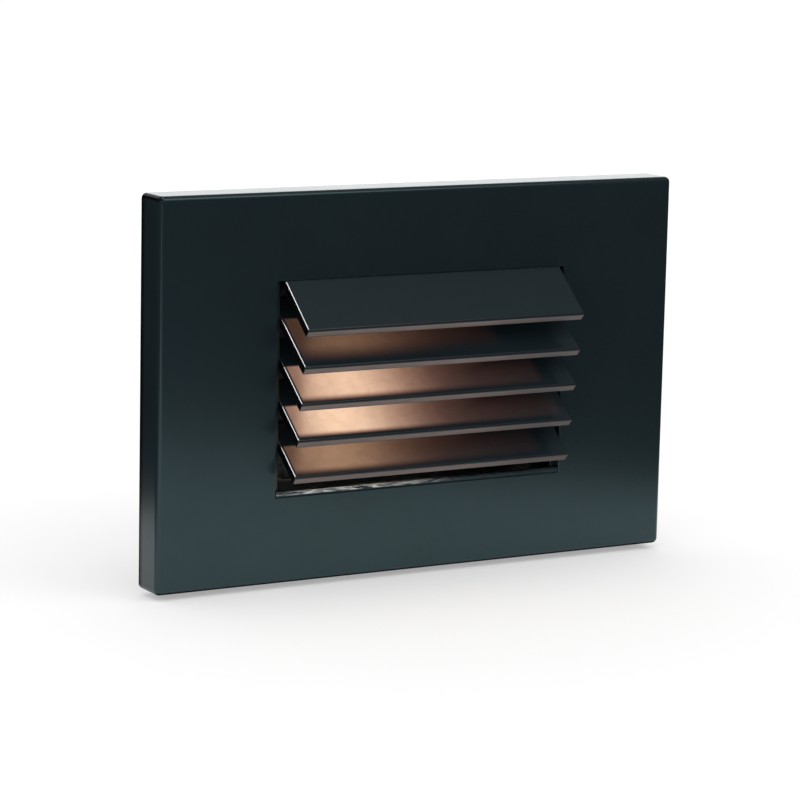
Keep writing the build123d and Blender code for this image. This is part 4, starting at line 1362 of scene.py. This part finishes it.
@dataclass
class Studio:
    """White floor, soft light, dark cards for the reflections, and the camera."""

    floor_z: float = -0.0432
    floor_size: float = 12.0
    floor_colour: float = 0.78
    floor_lift: float = 0.34
    world_level: float = 0.86
    canopy_place: Triple = (0.35, 0.15, 0.75)
    canopy_size: float = 1.1
    canopy_level: float = 0.13
    glint_place: Triple = (-0.113, -0.0635, 0.63)
    glint_size: float = 0.20
    glint_level: Colour = (34.0, 22.0, 21.0)
    camera_place: Triple = (-0.34639, -0.59605, 0.11390)
    camera_right: Triple = (0.86666, -0.49843, 0.02142)
    camera_up: Triple = (0.06707, 0.15895, 0.98501)
    focal_pixels: float = 3191.755
    picture_pixels: float = 800.0
    sensor: float = 36.0
    clip_start: float = 0.01
    clip_end: float = 50.0

    def build(self) -> None:
        """Set the stage, the light and the camera."""
        self.floor()
        self.cards()
        self.world()
        self.lamps()
        self.camera()
        bpy.context.scene.view_settings.view_transform = "Standard"

    def sheet(
        self, graph: Graph, name: str, size: tuple[float, float], place: Triple, turn: Triple = (0.0, 0.0, 0.0)
    ) -> bpy.types.Object:
        """Set up a flat sheet.

        Args:
            graph: Its material's tree.
            name: Its name.
            size: Its length and width.
            place: Its middle.
            turn: Its rotation.

        Returns:
            The sheet.
        """
        bpy.ops.mesh.primitive_plane_add(size=1.0, location=place, rotation=turn)
        sheet = bpy.context.object
        sheet.name = name
        sheet.scale = (*size, 1.0)
        sheet.data.materials.append(graph.material)
        return sheet

    def floor(self) -> None:
        """White floor that keeps the shadow."""
        graph = Graph("studio_white")
        graph.set("Base Color", (*(self.floor_colour,) * 3, 1.0))
        graph.set("Roughness", 1.0)
        graph.set("Specular IOR Level", 0.0)
        graph.set("Emission Color", (1.0, 1.0, 1.0, 1.0))
        graph.set("Emission Strength", graph.times(graph.seen(), self.floor_lift))
        floor = self.sheet(graph, "studio_floor", (self.floor_size,) * 2, (0.0, 0.0, self.floor_z))

    def card(
        self, name: str, size: tuple[float, float], level: Colour, place: Triple, turn: Triple = (0.0, 0.0, 0.0)
    ) -> None:
        """Hang a card that only reflections see.

        Args:
            name: Its name.
            size: Its length and width.
            level: Its brightness in red, green and blue.
            place: Its middle.
            turn: Its rotation.
        """
        graph = Graph(name + "_tone")
        graph.set("Base Color", (0.0, 0.0, 0.0, 1.0))
        graph.set("Specular IOR Level", 0.0)
        peak = max(*level, 1.0)
        graph.set("Emission Color", (*(part / peak for part in level), 1.0))
        graph.set("Emission Strength", peak)
        card = self.sheet(graph, name, size, place, turn)
        for ray in ("camera", "diffuse", "shadow", "transmission", "volume_scatter"):
            setattr(card, f"visible_{ray}", False)

    def cards(self) -> None:
        """Stand the dark cards on the floor, and hang the dim ceiling and the bright card over the light.

        The bright card's reflection draws the thin lines along the blades' left ends.
        """
        for card in Card:
            name, (x, y), length, turn, height = card.value
            place = (x, y, self.floor_z + height / 2)
            self.card(name, (length, height), (0.0, 0.0, 0.0), place, (UPRIGHT, 0.0, turn))
        self.card("dim_canopy", (self.canopy_size,) * 2, (self.canopy_level,) * 3, self.canopy_place)
        turn = Vector(self.glint_place).to_track_quat("Z", "Y").to_euler()
        self.card("bright_card", (self.glint_size,) * 2, self.glint_level, self.glint_place, turn)

    def world(self) -> None:
        """White to look at, soft as a light."""
        world = bpy.data.worlds.new("soft_white")
        world.use_nodes = True
        bpy.context.scene.world = world
        tree = Tree(world.node_tree)
        ground = world.node_tree.nodes["Background"]
        tree.feed(ground.inputs["Color"], (1.0, 1.0, 1.0, 1.0))
        tree.feed(ground.inputs["Strength"], tree.ramp(tree.seen(), Ramp(0.0, 1.0, self.world_level, 1.0)))

    def lamps(self) -> None:
        """Hang the soft lamps, all turned to the light."""
        for soft_box in SoftBox:
            name, place, size, level = soft_box.value
            lamp = bpy.data.lights.new(name, "AREA")
            lamp.shape = "SQUARE"
            lamp.size = size
            lamp.energy = level * math.pi * size * size
            box = bpy.data.objects.new(name, lamp)
            box.location = place
            box.rotation_mode = "QUATERNION"
            box.rotation_quaternion = (-Vector(place)).to_track_quat("-Z", "Y")
            box.visible_camera = False
            bpy.context.scene.collection.objects.link(box)

    def camera(self) -> None:
        """Camera at the photograph's viewpoint."""
        lens = bpy.data.cameras.new("camera")
        lens.sensor_width = self.sensor
        lens.sensor_fit = "HORIZONTAL"
        lens.lens = self.focal_pixels * self.sensor / self.picture_pixels
        lens.clip_start = self.clip_start
        lens.clip_end = self.clip_end
        camera = bpy.data.objects.new("camera", lens)
        right, up = Vector(self.camera_right), Vector(self.camera_up)
        turn = Matrix((right, up, right.cross(up))).transposed().to_4x4()
        camera.matrix_world = Matrix.Translation(self.camera_place) @ turn
        bpy.context.scene.collection.objects.link(camera)
        bpy.context.scene.camera = camera


def main() -> None:
    """Build the dressed light in its studio."""
    logging.basicConfig(level=logging.INFO, format="%(message)s")
    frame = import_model()
    bpy.ops.object.select_all(action="DESELECT")
    wardrobe = Wardrobe(frame["nodes"])
    Studio().build()
    for assembly in (FaceCover, Louver, Sill, WallMount, SetScrews, LightMouth, LampUnit, Driver, BackClosure):
        LOG.info("building %s", assembly.__name__)
        assembly(wardrobe).build()


if __name__ == "__main__":
    main()
